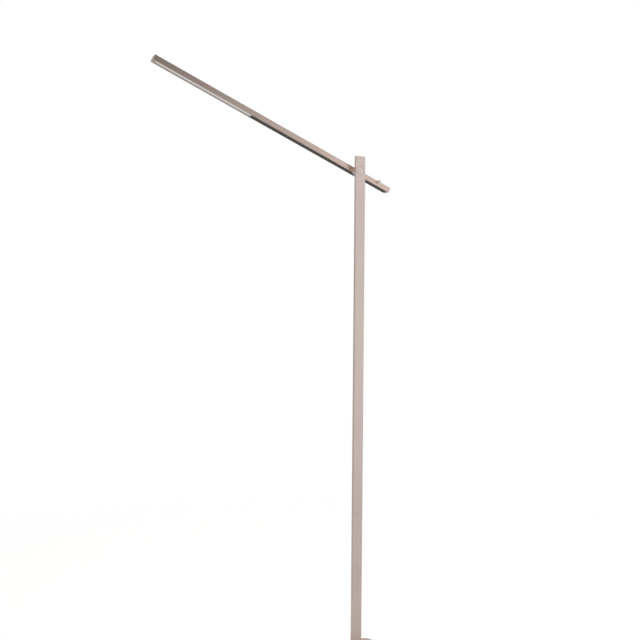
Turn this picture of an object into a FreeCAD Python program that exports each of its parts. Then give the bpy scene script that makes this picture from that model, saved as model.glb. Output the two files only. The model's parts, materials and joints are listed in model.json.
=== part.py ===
import FreeCAD, Part
import math
import os
import re
import Sketcher

# Office floor lamp: a flat rectangular post on a weighted base, and a slim LED arm that
# lies behind the post and tilts on a round friction hub. A small lever at the arm's tail
# turns the light up and down.
#
# Millimetres. +Z is up, +X runs from the arm's tip towards its tail, -Y is the front.
# The origin is on the floor, under the middle of the post.

SIZES = {
    # weighted base
    "pad_thickness": 2.0,
    "pad_inset": 5.0,
    "plate_length": 300.0,
    "plate_breadth": 240.0,
    "plate_thickness": 10.0,
    "plate_corner": 26.0,
    "plate_edge": 1.2,
    "plate_shift": 40.0,
    "channel_width": 5.0,
    "channel_depth": 7.2,
    # foot that carries the post
    "foot_length": 76.0,
    "foot_breadth": 44.0,
    "foot_thickness": 4.0,
    "foot_clear": 0.3,
    "spigot_rise": 90.0,
    "spigot_clear": 0.15,
    "spigot_groove_depth": 4.4,
    "foot_screw_thread": 5.0,
    "foot_screw_head": 9.6,
    "foot_screw_length": 8.5,
    "foot_screw_spread_long": 58.0,
    "foot_screw_spread_wide": 30.0,
    # cable inlet at the back of the base
    "gland_bore": 3.4,
    "gland_body": 6.8,
    "gland_flange": 8.6,
    "gland_flange_thickness": 1.6,
    "gland_length": 14.0,
    "gland_rise": 4.5,
    "gland_neck": 5.4,
    "clip_thickness": 1.2,
    "clip_width": 9.0,
    "clip_pocket": 12.0,
    "part_gap": 0.1,
    # post
    "post_width": 32.0,
    "post_depth": 11.0,
    "post_wall": 1.8,
    "post_edge": 0.8,
    "post_top": 1550.0,
    "cap_plate": 1.5,
    "cap_plug": 9.0,
    "post_screw_thread": 4.0,
    "post_screw_head": 7.4,
    "post_screw_head_rise": 2.0,
    "post_screw_low": 25.0,
    "post_screw_step": 42.0,
    "post_screw_side": 8.0,
    # tilting hub
    "pivot_drop": 42.5,
    "hub_length": 17.0,
    "hub_diameter": 31.0,
    "disc_diameter": 27.0,
    "disc_thickness": 1.2,
    "disc_skirt": 1.0,
    "disc_skirt_depth": 3.0,
    "barrel_diameter": 20.0,
    "seat_diameter": 16.0,
    "sleeve_flange_thickness": 3.0,
    "journal_length": 5.3,
    "axle_diameter": 10.0,
    "axle_bore": 6.0,
    "axle_clear": 0.05,
    "axle_head_diameter": 15.6,
    "axle_head_thickness": 2.5,
    "ring_nut_thickness": 3.0,
    "ring_nut_diameter": 25.0,
    "ring_nut_slot": 3.0,
    "ring_nut_web": 1.0,
    "washer_thickness": 0.8,
    "washer_diameter": 17.0,
    "washer_clear": 0.3,
    "face_gap": 0.05,
    "spring_thickness": 0.8,
    "spring_dish": 0.5,
    "spring_clear": 0.4,
    "lock_nut_thickness": 1.8,
    "lock_nut_flats": 13.0,
    "stop_pin_diameter": 2.0,
    "stop_orbit": 11.2,
    "stop_groove_depth": 2.0,
    "stop_groove_clear": 0.35,
    "stop_pin_seat": 5.0,
    "tilt_above_level": 60.0,
    "tilt_below_level": 75.0,
    "rest_tilt": 22.5,
    "boss_edge": 0.8,
    "boss_screw_thread": 3.0,
    "boss_screw_head": 5.6,
    "boss_screw_head_rise": 1.8,
    "boss_screw_depth": 7.0,
    "boss_screw_orbit": 10.5,
    # arm
    "arm_width": 27.0,
    "arm_height": 16.0,
    "arm_wall": 1.8,
    "arm_web": 2.0,
    "arm_edge": 0.5,
    "tip_reach": 694.0,
    "tail_reach": 130.0,
    "end_plate": 6.0,
    "end_edge": 1.2,
    "end_low_edge": 2.0,
    "end_depth": 8.5,
    "groove_depth": 0.8,
    "diffuser_recess": 3.7,
    "diffuser_thickness": 1.5,
    "light_start": 370.0,
    "strip_recess": 0.3,
    "strip_thickness": 1.4,
    "strip_leg": 1.2,
    # light engine and driver
    "board_width": 21.0,
    "board_thickness": 1.6,
    "board_margin": 3.0,
    "chip_length": 3.5,
    "chip_width": 2.8,
    "chip_rise": 0.8,
    "chip_pitch": 8.5,
    "chip_margin": 5.5,
    "board_screw_thread": 2.5,
    "board_screw_head": 4.5,
    "board_screw_head_rise": 0.9,
    "board_screw_count": 4,
    "board_screw_margin": 13.75,
    "driver_start": 62.0,
    "driver_length": 96.0,
    "driver_width": 19.0,
    "driver_spacer": 3.0,
    "driver_spacer_diameter": 5.0,
    "driver_screw_inset": 5.0,
    "coil_diameter": 9.0,
    "coil_rise": 4.5,
    "can_diameter": 4.6,
    "can_length": 11.0,
    "chip_block": 5.0,
    "chip_block_rise": 1.5,
    # dimmer lever
    "lever_place": 77.0,
    "lever_rise": 2.5,
    "lever_diameter": 8.0,
    "lever_thickness": 1.2,
    "lever_pocket_depth": 1.35,
    "lever_clear": 0.3,
    "lever_disc_gap": 1.0,
    "lever_reach": 16.0,
    "lever_tab_width": 4.0,
    "lever_knob_start": 11.2,
    "lever_knob_thickness": 3.0,
    "lever_angle": 42.0,
    "spindle_diameter": 4.0,
    "spindle_clear": 0.06,
    "spindle_length": 5.0,
    "dimmer_width": 9.0,
    "dimmer_height": 6.6,
    "dimmer_depth": 7.0,
    # wiring inside the lamp
    "cable_diameter": 3.0,
    "cable_foot_bend": 9.0,
    "cable_hub_bend": 4.0,
    "cable_set_back": 2.0,
    "cable_arm_bend": 9.0,
    "lead_diameter": 1.6,
}

doc = FreeCAD.newDocument("FloorLamp")
sheet = doc.addObject("Spreadsheet::Sheet", "Sizes")
for row, (alias, size) in enumerate(SIZES.items(), start=1):
    sheet.set(f"A{row}", alias)
    sheet.set(f"B{row}", str(size))
    sheet.setAlias(f"B{row}", alias)
doc.recompute()

# ---------------------------------------------------------------- places along the lamp
# Each is an expression on the sheet's sizes, used wherever pieces meet.

PLATE_LOW = "pad_thickness"
PLATE_HIGH = "(pad_thickness + plate_thickness)"
FOOT_HIGH = "(pad_thickness + foot_thickness)"
SPIGOT_HIGH = f"({PLATE_HIGH} + spigot_rise)"
CHANNEL_HIGH = "(pad_thickness + channel_depth)"
GLAND_HEIGHT = "(pad_thickness + gland_rise)"
PLATE_BACK = "(plate_breadth / 2)"
GLAND_INNER = f"({PLATE_BACK} - gland_length)"
PIVOT_HEIGHT = "(post_top - pivot_drop)"
POST_FRONT = "(-post_depth / 2)"
POST_BACK = "(post_depth / 2)"
POST_INNER_WIDTH = "(post_width - 2 * post_wall)"
POST_INNER_DEPTH = "(post_depth - 2 * post_wall)"
SPIGOT_SIDE = f"({POST_INNER_WIDTH} / 2 - spigot_clear)"
SPIGOT_FACE = f"({POST_INNER_DEPTH} / 2 - spigot_clear)"
SLEEVE_FRONT = f"({POST_FRONT} + disc_thickness)"
SLEEVE_BACK = f"({POST_BACK} + sleeve_flange_thickness)"
JOURNAL_FRONT = f"({SLEEVE_BACK} - journal_length)"
NUT_BACK = f"({JOURNAL_FRONT} - face_gap - spring_thickness - spring_dish)"
NUT_FRONT = f"({NUT_BACK} - lock_nut_thickness)"
BOSS_FRONT = f"({SLEEVE_BACK} + washer_thickness + face_gap)"
ARM_NEAR = f"({POST_BACK} + hub_length)"
ARM_FAR = f"({ARM_NEAR} + arm_width)"
ARM_MIDDLE = f"({ARM_NEAR} + arm_width / 2)"
CAVITY_NEAR = f"({ARM_NEAR} + arm_wall)"
CAVITY_FAR = f"({ARM_FAR} - arm_wall)"
HEAD_FRONT = f"({ARM_NEAR} - axle_head_thickness)"
ARM_TOP = "(arm_height / 2)"
ARM_LOW = "(-arm_height / 2)"
WEB_LOW = f"({ARM_TOP} - arm_web)"
DIFFUSER_LOW = f"({ARM_LOW} + diffuser_recess)"
DIFFUSER_HIGH = f"({DIFFUSER_LOW} + diffuser_thickness)"
BOARD_LOW = f"({WEB_LOW} - board_thickness)"
LIGHT_END = "(-tip_reach + end_depth)"
STRIP_END = "(tail_reach - end_depth)"
BOARD_TIP = f"({LIGHT_END} + board_margin)"
BOARD_ROOT = "(-light_start - board_margin)"
DRIVER_HIGH = f"({WEB_LOW} - driver_spacer)"
DRIVER_LOW = f"({DRIVER_HIGH} - board_thickness)"
LEVER_FACE = f"({ARM_NEAR} + lever_thickness)"
POCKET_FACE = f"({ARM_NEAR} + lever_pocket_depth)"
HUB_PLACE = f"create(<<vector>>; 0; 0; {PIVOT_HEIGHT})"
HUB_PLACEMENT = f"create(<<placement>>; {HUB_PLACE}; create(<<rotation>>; create(<<vector>>; 0; 1; 0); 0))"
ARM_PLACEMENT = (
    f"create(<<placement>>; {HUB_PLACE}; create(<<rotation>>; create(<<vector>>; 0; 1; 0); rest_tilt))"
)


def size(alias):
    """A size from the sheet, for shapes that are computed here."""
    return float(sheet.get(alias))


def bound(expression):
    """Point the aliases in an expression at the sheet."""
    def point(word):
        name = word.group()
        return f"Sizes.{name}" if name in SIZES else name
    return re.sub(r"[a-z][a-z_]*", point, expression)


# ---------------------------------------------------------------- bodies and their sketches

NODES = []


def new_body(label, placement=None):
    """An empty body that becomes one node of the lamp."""
    body = doc.addObject("PartDesign::Body", label)
    body.Label = label
    body.AllowCompound = True
    if placement:
        body.setExpression("Placement", bound(placement))
    NODES.append(body)
    return body


def new_sketch(body, plane, name, offset=None):
    """A sketch on one of the body's own origin planes, moved along the plane's normal."""
    sketch = body.newObject("Sketcher::SketchObject", f"{body.Label}_{name}")
    planes = [feature for feature in body.Origin.OriginFeatures if feature.Role == plane]
    sketch.AttachmentSupport = [(planes[0], "")]
    sketch.MapMode = "FlatFace"
    if offset is not None:
        sketch.setExpression("AttachmentOffset.Base.z", bound(offset))
    return sketch


def bind_point(sketch, geometry, vertex, tag, across, up):
    """Hold one sketch point at bound distances from the sketch's origin."""
    for kind, letter, expression in (("DistanceX", "across", across), ("DistanceY", "up", up)):
        number = sketch.addConstraint(Sketcher.Constraint(kind, -1, 1, geometry, vertex, 1.0))
        sketch.renameConstraint(number, f"{letter}_{tag}")
        sketch.setExpression(f"Constraints.{letter}_{tag}", bound(expression))


def outline(sketch, corners):
    """A closed outline of straight edges through bound corners."""
    first = sketch.GeometryCount
    count = len(corners)
    ring = []
    for index in range(count):
        turn = 2 * math.pi * index / count
        ring.append(FreeCAD.Vector(math.cos(turn), math.sin(turn), 0))
    for index in range(count):
        sketch.addGeometry(Part.LineSegment(ring[index], ring[(index + 1) % count]))
    for index in range(count):
        following = first + (index + 1) % count
        sketch.addConstraint(Sketcher.Constraint("Coincident", first + index, 2, following, 1))
    for index, (across, up) in enumerate(corners):
        bind_point(sketch, first + index, 1, f"corner{first + index}", across, up)


def rectangle(sketch, left, right, low, high):
    """An upright rectangle between four bound sides."""
    outline(sketch, [(left, low), (right, low), (right, high), (left, high)])


def circle(sketch, across, up, diameter):
    """A circle of bound diameter about a bound centre."""
    number = sketch.GeometryCount
    sketch.addGeometry(Part.Circle(FreeCAD.Vector(1, 1, 0), FreeCAD.Vector(0, 0, 1), 1.0))
    bind_point(sketch, number, 3, f"centre{number}", across, up)
    constraint = sketch.addConstraint(Sketcher.Constraint("Diameter", number, 2.0))
    sketch.renameConstraint(constraint, f"diameter{number}")
    sketch.setExpression(f"Constraints.diameter{number}", bound(diameter))


# An extrusion runs from start to end along the plane's axis: Z, Y or X.
PLANES = {"Z": "XY_Plane", "Y": "XZ_Plane", "X": "YZ_Plane"}


def extrude(kind, body, name, axis, start, end, draw):
    """Pad or pocket a drawn outline from start to end along an axis."""
    # the XZ plane faces -Y, so distances along Y are measured against its normal
    against = axis == "Y"
    offset = f"-({start})" if against else start
    sketch = new_sketch(body, PLANES[axis], f"{name}_outline", offset)
    draw(sketch)
    doc.recompute()
    feature = body.newObject(f"PartDesign::{kind}", f"{body.Label}_{name}")
    feature.Profile = sketch
    feature.Refine = True
    feature.setExpression("Length", bound(f"({end}) - ({start})"))
    feature.Reversed = against if kind == "Pad" else not against
    doc.recompute()
    return feature


def pad(body, name, axis, start, end, draw):
    """Add an extrusion."""
    return extrude("Pad", body, name, axis, start, end, draw)


def pocket(body, name, axis, start, end, draw):
    """Cut an extrusion, and make sure that it removed something."""
    before = body.Shape.Volume
    feature = extrude("Pocket", body, name, axis, start, end, draw)
    if not body.Shape.Volume < before - 1e-3:
        raise RuntimeError(f"{feature.Name} cuts nothing")
    return feature


def turned(body, name, corners):
    """Revolve an outline of (place along Y, radius) corners about the body's Y axis."""
    sketch = new_sketch(body, "YZ_Plane", f"{name}_outline")
    outline(sketch, corners)
    doc.recompute()
    feature = body.newObject("PartDesign::Revolution", f"{body.Label}_{name}")
    feature.Profile = sketch
    feature.ReferenceAxis = (sketch, ["H_Axis"])
    feature.Angle = 360
    doc.recompute()
    return feature


def tube_section(start, end, inner, outer):
    """Corners of a plain ring: along Y from start to end, between two diameters."""
    return [
        (start, f"({inner}) / 2"),
        (end, f"({inner}) / 2"),
        (end, f"({outer}) / 2"),
        (start, f"({outer}) / 2"),
    ]


def long_edges(shape, direction, least):
    """Names of the straight edges along a direction that are longer than least."""
    names = []
    for number, edge in enumerate(shape.Edges, start=1):
        if edge.Curve.TypeId != "Part::GeomLine" or edge.Length < least:
            continue
        along = edge.tangentAt(edge.FirstParameter)
        if abs(along.dot(direction)) > 0.999:
            names.append(f"Edge{number}")
    return names


def soften(kind, body, name, edges, amount):
    """Fillet or chamfer named edges of the body's tip."""
    base = body.Tip
    feature = body.newObject(f"PartDesign::{kind}", f"{body.Label}_{name}")
    feature.Base = (base, edges)
    feature.setExpression("Radius" if kind == "Fillet" else "Size", bound(amount))
    doc.recompute()
    return feature


def row_of(body, feature, name, axis, span, count):
    """Repeat a feature in a straight row of bound span along one of the body's axes."""
    pattern = body.newObject("PartDesign::LinearPattern", f"{body.Label}_{name}")
    pattern.Originals = [feature]
    axes = [line for line in body.Origin.OriginFeatures if line.Role == f"{axis}_Axis"]
    pattern.Direction = (axes[0], [""])
    pattern.setExpression("Length", bound(span))
    pattern.setExpression("Occurrences", bound(count))
    body.Tip = pattern
    doc.recompute()
    return pattern


def mirrored(body, feature, name, plane):
    """Mirror a feature across one of the body's origin planes."""
    mirror = body.newObject("PartDesign::Mirrored", f"{body.Label}_{name}")
    mirror.Originals = [feature]
    planes = [item for item in body.Origin.OriginFeatures if item.Role == plane]
    mirror.MirrorPlane = (planes[0], [""])
    body.Tip = mirror
    doc.recompute()
    return mirror


def cable(label, corners, bends, diameter, placement=None):
    """A round cable: straight runs joined by tangent arcs, swept by its own section."""
    edges = []
    here = corners[0]
    for index, bend in enumerate(bends, start=1):
        corner = corners[index]
        back = (corners[index - 1] - corner).normalize()
        onward = (corners[index + 1] - corner).normalize()
        half_turn = (math.pi - back.getAngle(onward)) / 2
        setback = bend * math.tan(half_turn)
        enter = corner + back * setback
        leave = corner + onward * setback
        inward = (back + onward).normalize()
        middle = corner + inward * (bend / math.cos(half_turn) - bend)
        edges.append(Part.LineSegment(here, enter).toShape())
        edges.append(Part.Arc(enter, middle, leave).toShape())
        here = leave
    edges.append(Part.LineSegment(here, corners[-1]).toShape())
    path = Part.Wire(edges)
    section = Part.Wire(Part.makeCircle(diameter / 2, corners[0], corners[1] - corners[0]))
    solid = path.makePipeShell([section], True, False)
    node = doc.addObject("Part::Feature", label)
    node.Label = label
    node.Shape = solid
    if placement:
        node.setExpression("Placement", bound(placement))
    NODES.append(node)
    expected = math.pi * diameter ** 2 / 4 * path.Length
    if abs(solid.Volume - expected) > 0.01 * expected:
        raise RuntimeError(f"{label} has lost part of its length")
    print(f"{label}: {path.Length:.1f} long, bend radii {bends}")
    return node


UP = FreeCAD.Vector(0, 0, 1)
ALONG = FreeCAD.Vector(1, 0, 0)

# ---------------------------------------------------------------- base

PLATE_LEFT = "(-plate_shift - plate_length / 2)"
PLATE_RIGHT = "(-plate_shift + plate_length / 2)"


def plate_outline(inset):
    """Outline of the base, drawn in from its edge by an inset."""
    def draw(sketch):
        rectangle(sketch, f"{PLATE_LEFT} + {inset}", f"{PLATE_RIGHT} - {inset}",
                  f"-{PLATE_BACK} + {inset}", f"{PLATE_BACK} - {inset}")
    return draw


# name, place along X and place along Y of each screw that holds the foot
FOOT_SCREWS = [
    ("left_front", "-foot_screw_spread_long / 2", "-foot_screw_spread_wide / 2"),
    ("left_back", "-foot_screw_spread_long / 2", "foot_screw_spread_wide / 2"),
    ("right_front", "foot_screw_spread_long / 2", "-foot_screw_spread_wide / 2"),
    ("right_back", "foot_screw_spread_long / 2", "foot_screw_spread_wide / 2"),
]
FOOT_SCREW_TIP = f"({PLATE_LOW} + foot_screw_length)"
FOOT_SCREW_SINK = "((foot_screw_head - foot_screw_thread) / 2)"

base_pad = new_body("base_pad")
pad(base_pad, "sheet", "Z", "0", PLATE_LOW, plate_outline("pad_inset"))
soften("Fillet", base_pad, "corners", long_edges(base_pad.Shape, UP, size("pad_thickness") / 2),
       "plate_corner - pad_inset")

base_plate = new_body("base_plate")
pad(base_plate, "slab", "Z", PLATE_LOW, PLATE_HIGH, plate_outline("0"))
soften("Fillet", base_plate, "corners", long_edges(base_plate.Shape, UP, size("plate_thickness") / 2),
       "plate_corner")
top_rim = [f"Edge{number}" for number, edge in enumerate(base_plate.Shape.Edges, start=1)
           if edge.BoundBox.ZMin > size("pad_thickness") + size("plate_thickness") / 2]
soften("Fillet", base_plate, "top_rim", top_rim, "plate_edge")
pocket(base_plate, "foot_recess", "Z", PLATE_LOW, f"{FOOT_HIGH} + part_gap", lambda sketch: rectangle(
    sketch, "-foot_length / 2 - foot_clear", "foot_length / 2 + foot_clear",
    "-foot_breadth / 2 - foot_clear", "foot_breadth / 2 + foot_clear"))
pocket(base_plate, "spigot_slot", "Z", PLATE_LOW, PLATE_HIGH, lambda sketch: rectangle(
    sketch, f"-{SPIGOT_SIDE} - part_gap", f"{SPIGOT_SIDE} + part_gap",
    f"-{SPIGOT_FACE} - part_gap", f"{SPIGOT_FACE} + part_gap"))
pocket(base_plate, "cable_channel", "Z", PLATE_LOW, CHANNEL_HIGH, lambda sketch: rectangle(
    sketch, "-channel_width / 2", "channel_width / 2", "0", GLAND_INNER))
pocket(base_plate, "clip_space", "Z", PLATE_LOW, f"{GLAND_HEIGHT} + gland_body / 2", lambda sketch: rectangle(
    sketch, "-clip_pocket / 2", "clip_pocket / 2", f"{GLAND_INNER} - clip_thickness",
    f"{GLAND_INNER} + 2 * clip_thickness"))
pocket(base_plate, "gland_hole", "Y", GLAND_INNER, PLATE_BACK, lambda sketch: circle(
    sketch, "0", GLAND_HEIGHT, "gland_body + 2 * part_gap"))
for name, across, up in FOOT_SCREWS:
    pocket(base_plate, f"screw_hole_{name}", "Z", PLATE_LOW, f"{FOOT_SCREW_TIP} + part_gap",
           lambda sketch: circle(sketch, across, up, "foot_screw_thread + part_gap"))

# ---------------------------------------------------------------- foot and its screws

# name and height of each screw through the post's back into the foot's spigot
POST_SCREWS = [
    ("low", f"{PLATE_HIGH} + post_screw_low"),
    ("high", f"{PLATE_HIGH} + post_screw_low + post_screw_step"),
]

foot_block = new_body("foot_block")
pad(foot_block, "flange", "Z", PLATE_LOW, FOOT_HIGH, lambda sketch: rectangle(
    sketch, "-foot_length / 2", "foot_length / 2", "-foot_breadth / 2", "foot_breadth / 2"))
pad(foot_block, "spigot", "Z", FOOT_HIGH, SPIGOT_HIGH, lambda sketch: rectangle(
    sketch, f"-{SPIGOT_SIDE}", SPIGOT_SIDE, f"-{SPIGOT_FACE}", SPIGOT_FACE))
pocket(foot_block, "cable_groove", "Z", PLATE_LOW, SPIGOT_HIGH, lambda sketch: rectangle(
    sketch, "-channel_width / 2", "channel_width / 2", f"-{SPIGOT_FACE}",
    f"-{SPIGOT_FACE} + spigot_groove_depth"))
pocket(foot_block, "cable_slot", "Z", PLATE_LOW, PLATE_HIGH, lambda sketch: rectangle(
    sketch, "-channel_width / 2", "channel_width / 2", "0", "foot_breadth / 2"))
for name, across, up in FOOT_SCREWS:
    known = [edge.CenterOfMass for edge in foot_block.Tip.Shape.Edges]
    pocket(foot_block, f"screw_hole_{name}", "Z", PLATE_LOW, FOOT_HIGH,
           lambda sketch: circle(sketch, across, up, "foot_screw_thread + part_gap"))
    rims = []
    for number, edge in enumerate(foot_block.Tip.Shape.Edges, start=1):
        middle = edge.CenterOfMass
        fresh = all(middle.distanceToPoint(place) > 1e-3 for place in known)
        if fresh and edge.isClosed() and abs(middle.z - size("pad_thickness")) < 1e-3:
            rims.append(f"Edge{number}")
    soften("Chamfer", foot_block, f"sink_{name}", rims, FOOT_SCREW_SINK)
for name, height in POST_SCREWS:
    pocket(foot_block, f"post_screw_hole_{name}", "Y", f"-{SPIGOT_FACE}", SPIGOT_FACE, lambda sketch: circle(
        sketch, "post_screw_side", height, "post_screw_thread"))


# countersunk, head down, flush with the foot's underside
foot_screws = new_body("foot_screws")
for name, across, up in FOOT_SCREWS:
    pad(foot_screws, f"shank_{name}", "Z", PLATE_LOW, FOOT_SCREW_TIP,
        lambda sketch: circle(sketch, across, up, "foot_screw_thread"))
    head = pad(foot_screws, f"head_{name}", "Z", PLATE_LOW, f"{PLATE_LOW} + {FOOT_SCREW_SINK} - part_gap",
               lambda sketch: circle(sketch, across, up, "foot_screw_head - 2 * part_gap"))
    head.TaperAngle = -45
    doc.recompute()

# ---------------------------------------------------------------- cable inlet

cable_gland = new_body("cable_gland", f"create(<<placement>>; create(<<vector>>; 0; 0; {GLAND_HEIGHT});"
                       " create(<<rotation>>; create(<<vector>>; 0; 1; 0); 0))")
turned(cable_gland, "bush", [
    (GLAND_INNER, "gland_bore / 2"),
    (f"{PLATE_BACK} + gland_flange_thickness", "gland_bore / 2"),
    (f"{PLATE_BACK} + gland_flange_thickness", "gland_flange / 2 - gland_flange_thickness / 3"),
    (f"{PLATE_BACK} + gland_flange_thickness * 2 / 3", "gland_flange / 2"),
    (PLATE_BACK, "gland_flange / 2"),
    (PLATE_BACK, "gland_body / 2"),
    (f"{GLAND_INNER} + 2 * clip_thickness", "gland_body / 2"),
    (f"{GLAND_INNER} + 2 * clip_thickness", "gland_neck / 2"),
    (f"{GLAND_INNER} + clip_thickness - part_gap", "gland_neck / 2"),
    (f"{GLAND_INNER} + clip_thickness - part_gap", "gland_body / 2"),
    (GLAND_INNER, "gland_body / 2"),
])

gland_clip = new_body("gland_clip")
pad(gland_clip, "fork", "Y", f"{GLAND_INNER} + clip_thickness", f"{GLAND_INNER} + 2 * clip_thickness",
    lambda sketch: rectangle(sketch, "-clip_width / 2", "clip_width / 2", f"{PLATE_LOW} + part_gap",
                             f"{GLAND_HEIGHT} + gland_body / 2 - part_gap"))
pocket(gland_clip, "round", "Y", f"{GLAND_INNER} + clip_thickness", f"{GLAND_INNER} + 2 * clip_thickness",
       lambda sketch: circle(sketch, "0", GLAND_HEIGHT, "gland_neck + part_gap"))
pocket(gland_clip, "mouth", "Y", f"{GLAND_INNER} + clip_thickness", f"{GLAND_INNER} + 2 * clip_thickness",
       lambda sketch: rectangle(sketch, "-gland_neck / 2 - part_gap / 2", "gland_neck / 2 + part_gap / 2",
                                PLATE_LOW, GLAND_HEIGHT))

# ---------------------------------------------------------------- post

post = new_body("post")
pad(post, "tube", "Z", PLATE_HIGH, "post_top - cap_plate", lambda sketch: rectangle(
    sketch, "-post_width / 2", "post_width / 2", POST_FRONT, POST_BACK))
soften("Fillet", post, "edges", long_edges(post.Shape, UP, size("post_top") / 2), "post_edge")
pocket(post, "hollow", "Z", PLATE_HIGH, "post_top - cap_plate", lambda sketch: rectangle(
    sketch, f"-{POST_INNER_WIDTH} / 2", f"{POST_INNER_WIDTH} / 2",
    f"-{POST_INNER_DEPTH} / 2", f"{POST_INNER_DEPTH} / 2"))
pocket(post, "disc_hole", "Y", POST_FRONT, f"{POST_FRONT} + post_wall", lambda sketch: circle(
    sketch, "0", PIVOT_HEIGHT, "disc_diameter"))
pocket(post, "sleeve_hole", "Y", f"{POST_BACK} - post_wall", POST_BACK, lambda sketch: circle(
    sketch, "0", PIVOT_HEIGHT, "barrel_diameter + 2 * part_gap"))
for name, height in POST_SCREWS:
    pocket(post, f"screw_hole_{name}", "Y", f"{POST_BACK} - post_wall", POST_BACK, lambda sketch: circle(
        sketch, "post_screw_side", height, "post_screw_thread + 2 * part_gap"))

post_cap = new_body("post_cap")
pad(post_cap, "plate", "Z", "post_top - cap_plate", "post_top", lambda sketch: rectangle(
    sketch, "-post_width / 2", "post_width / 2", POST_FRONT, POST_BACK))
soften("Fillet", post_cap, "edges", long_edges(post_cap.Shape, UP, size("cap_plate") / 2), "post_edge")
pad(post_cap, "plug", "Z", "post_top - cap_plate - cap_plug", "post_top - cap_plate",
    lambda sketch: rectangle(sketch, f"-{SPIGOT_SIDE}", SPIGOT_SIDE, f"-{SPIGOT_FACE}", SPIGOT_FACE))

post_screws = new_body("post_screws")
for name, height in POST_SCREWS:
    pad(post_screws, f"shank_{name}", "Y", f"-{SPIGOT_FACE} + spigot_groove_depth", POST_BACK,
        lambda sketch: circle(sketch, "post_screw_side", height, "post_screw_thread"))
    pad(post_screws, f"head_{name}", "Y", POST_BACK, f"{POST_BACK} + post_screw_head_rise",
        lambda sketch: circle(sketch, "post_screw_side", height, "post_screw_head"))

# ---------------------------------------------------------------- fixed half of the hub
# These bodies sit at the pivot, so their own heights are measured from its axis.

hub_sleeve = new_body("hub_sleeve", HUB_PLACEMENT)
turned(hub_sleeve, "barrel", [
    (SLEEVE_FRONT, "seat_diameter / 2"),
    (JOURNAL_FRONT, "seat_diameter / 2"),
    (JOURNAL_FRONT, "axle_diameter / 2 + axle_clear"),
    (SLEEVE_BACK, "axle_diameter / 2 + axle_clear"),
    (SLEEVE_BACK, "hub_diameter / 2"),
    (POST_BACK, "hub_diameter / 2"),
    (POST_BACK, "barrel_diameter / 2"),
    (SLEEVE_FRONT, "barrel_diameter / 2"),
])
pocket(hub_sleeve, "cable_notch", "Y", SLEEVE_FRONT, f"{SLEEVE_FRONT} + 2 * cable_set_back + part_gap",
       lambda sketch: rectangle(sketch, "-channel_width / 2", "channel_width / 2",
                                "-hub_diameter / 2", "0"))
groove_sketch = new_sketch(hub_sleeve, "YZ_Plane", "stop_groove_outline")
outline(groove_sketch, [
    (f"{SLEEVE_BACK} - stop_groove_depth", "stop_orbit - stop_pin_diameter / 2 - stop_groove_clear"),
    (SLEEVE_BACK, "stop_orbit - stop_pin_diameter / 2 - stop_groove_clear"),
    (SLEEVE_BACK, "stop_orbit + stop_pin_diameter / 2 + stop_groove_clear"),
    (f"{SLEEVE_BACK} - stop_groove_depth", "stop_orbit + stop_pin_diameter / 2 + stop_groove_clear"),
])
doc.recompute()
volume_before_groove = hub_sleeve.Shape.Volume
stop_groove = hub_sleeve.newObject("PartDesign::Groove", "hub_sleeve_stop_groove")
stop_groove.Profile = groove_sketch
stop_groove.ReferenceAxis = (groove_sketch, ["H_Axis"])
stop_groove.Type = "TwoAngles"
STOP_ALLOWANCE = "(stop_pin_diameter / 2 + stop_groove_clear) / stop_orbit * 180 / pi"
stop_groove.setExpression("Angle", bound(f"tilt_above_level + {STOP_ALLOWANCE}"))
stop_groove.setExpression("Angle2", bound(f"tilt_below_level + {STOP_ALLOWANCE}"))
doc.recompute()
if not hub_sleeve.Shape.Volume < volume_before_groove:
    raise RuntimeError("the stop groove cuts nothing")

ring_nut = new_body("ring_nut", HUB_PLACEMENT)
RING_NUT_FRONT = f"({POST_BACK} - post_wall - ring_nut_thickness)"
turned(ring_nut, "ring", tube_section(RING_NUT_FRONT, f"{POST_BACK} - post_wall",
                                      "barrel_diameter + part_gap", "ring_nut_diameter"))
slot = pocket(ring_nut, "slot", "Y", RING_NUT_FRONT, f"{POST_BACK} - post_wall", lambda sketch: rectangle(
    sketch, "-ring_nut_slot / 2", "ring_nut_slot / 2",
    "barrel_diameter / 2 + ring_nut_web", "ring_nut_diameter"))
mirrored(ring_nut, slot, "slot_below", "XY_Plane")

pivot_cap = new_body("pivot_cap", HUB_PLACEMENT)
turned(pivot_cap, "disc", [
    (POST_FRONT, "0"),
    (POST_FRONT, "disc_diameter / 2 - part_gap"),
    (SLEEVE_FRONT, "disc_diameter / 2 - part_gap"),
    (SLEEVE_FRONT, "seat_diameter / 2 - part_gap"),
    (f"{SLEEVE_FRONT} + disc_skirt_depth", "seat_diameter / 2 - part_gap"),
    (f"{SLEEVE_FRONT} + disc_skirt_depth", "seat_diameter / 2 - part_gap - disc_skirt"),
    (SLEEVE_FRONT, "seat_diameter / 2 - part_gap - disc_skirt"),
    (SLEEVE_FRONT, "0"),
])
pocket(pivot_cap, "cable_notch", "Y", SLEEVE_FRONT, f"{SLEEVE_FRONT} + disc_skirt_depth",
       lambda sketch: rectangle(sketch, "-channel_width / 2", "channel_width / 2", "-seat_diameter / 2", "0"))

friction_washer = new_body("friction_washer", HUB_PLACEMENT)
turned(friction_washer, "ring", tube_section(SLEEVE_BACK, f"{SLEEVE_BACK} + washer_thickness",
                                             "axle_diameter + 2 * washer_clear", "washer_diameter"))

# ---------------------------------------------------------------- turning half of the hub

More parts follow.
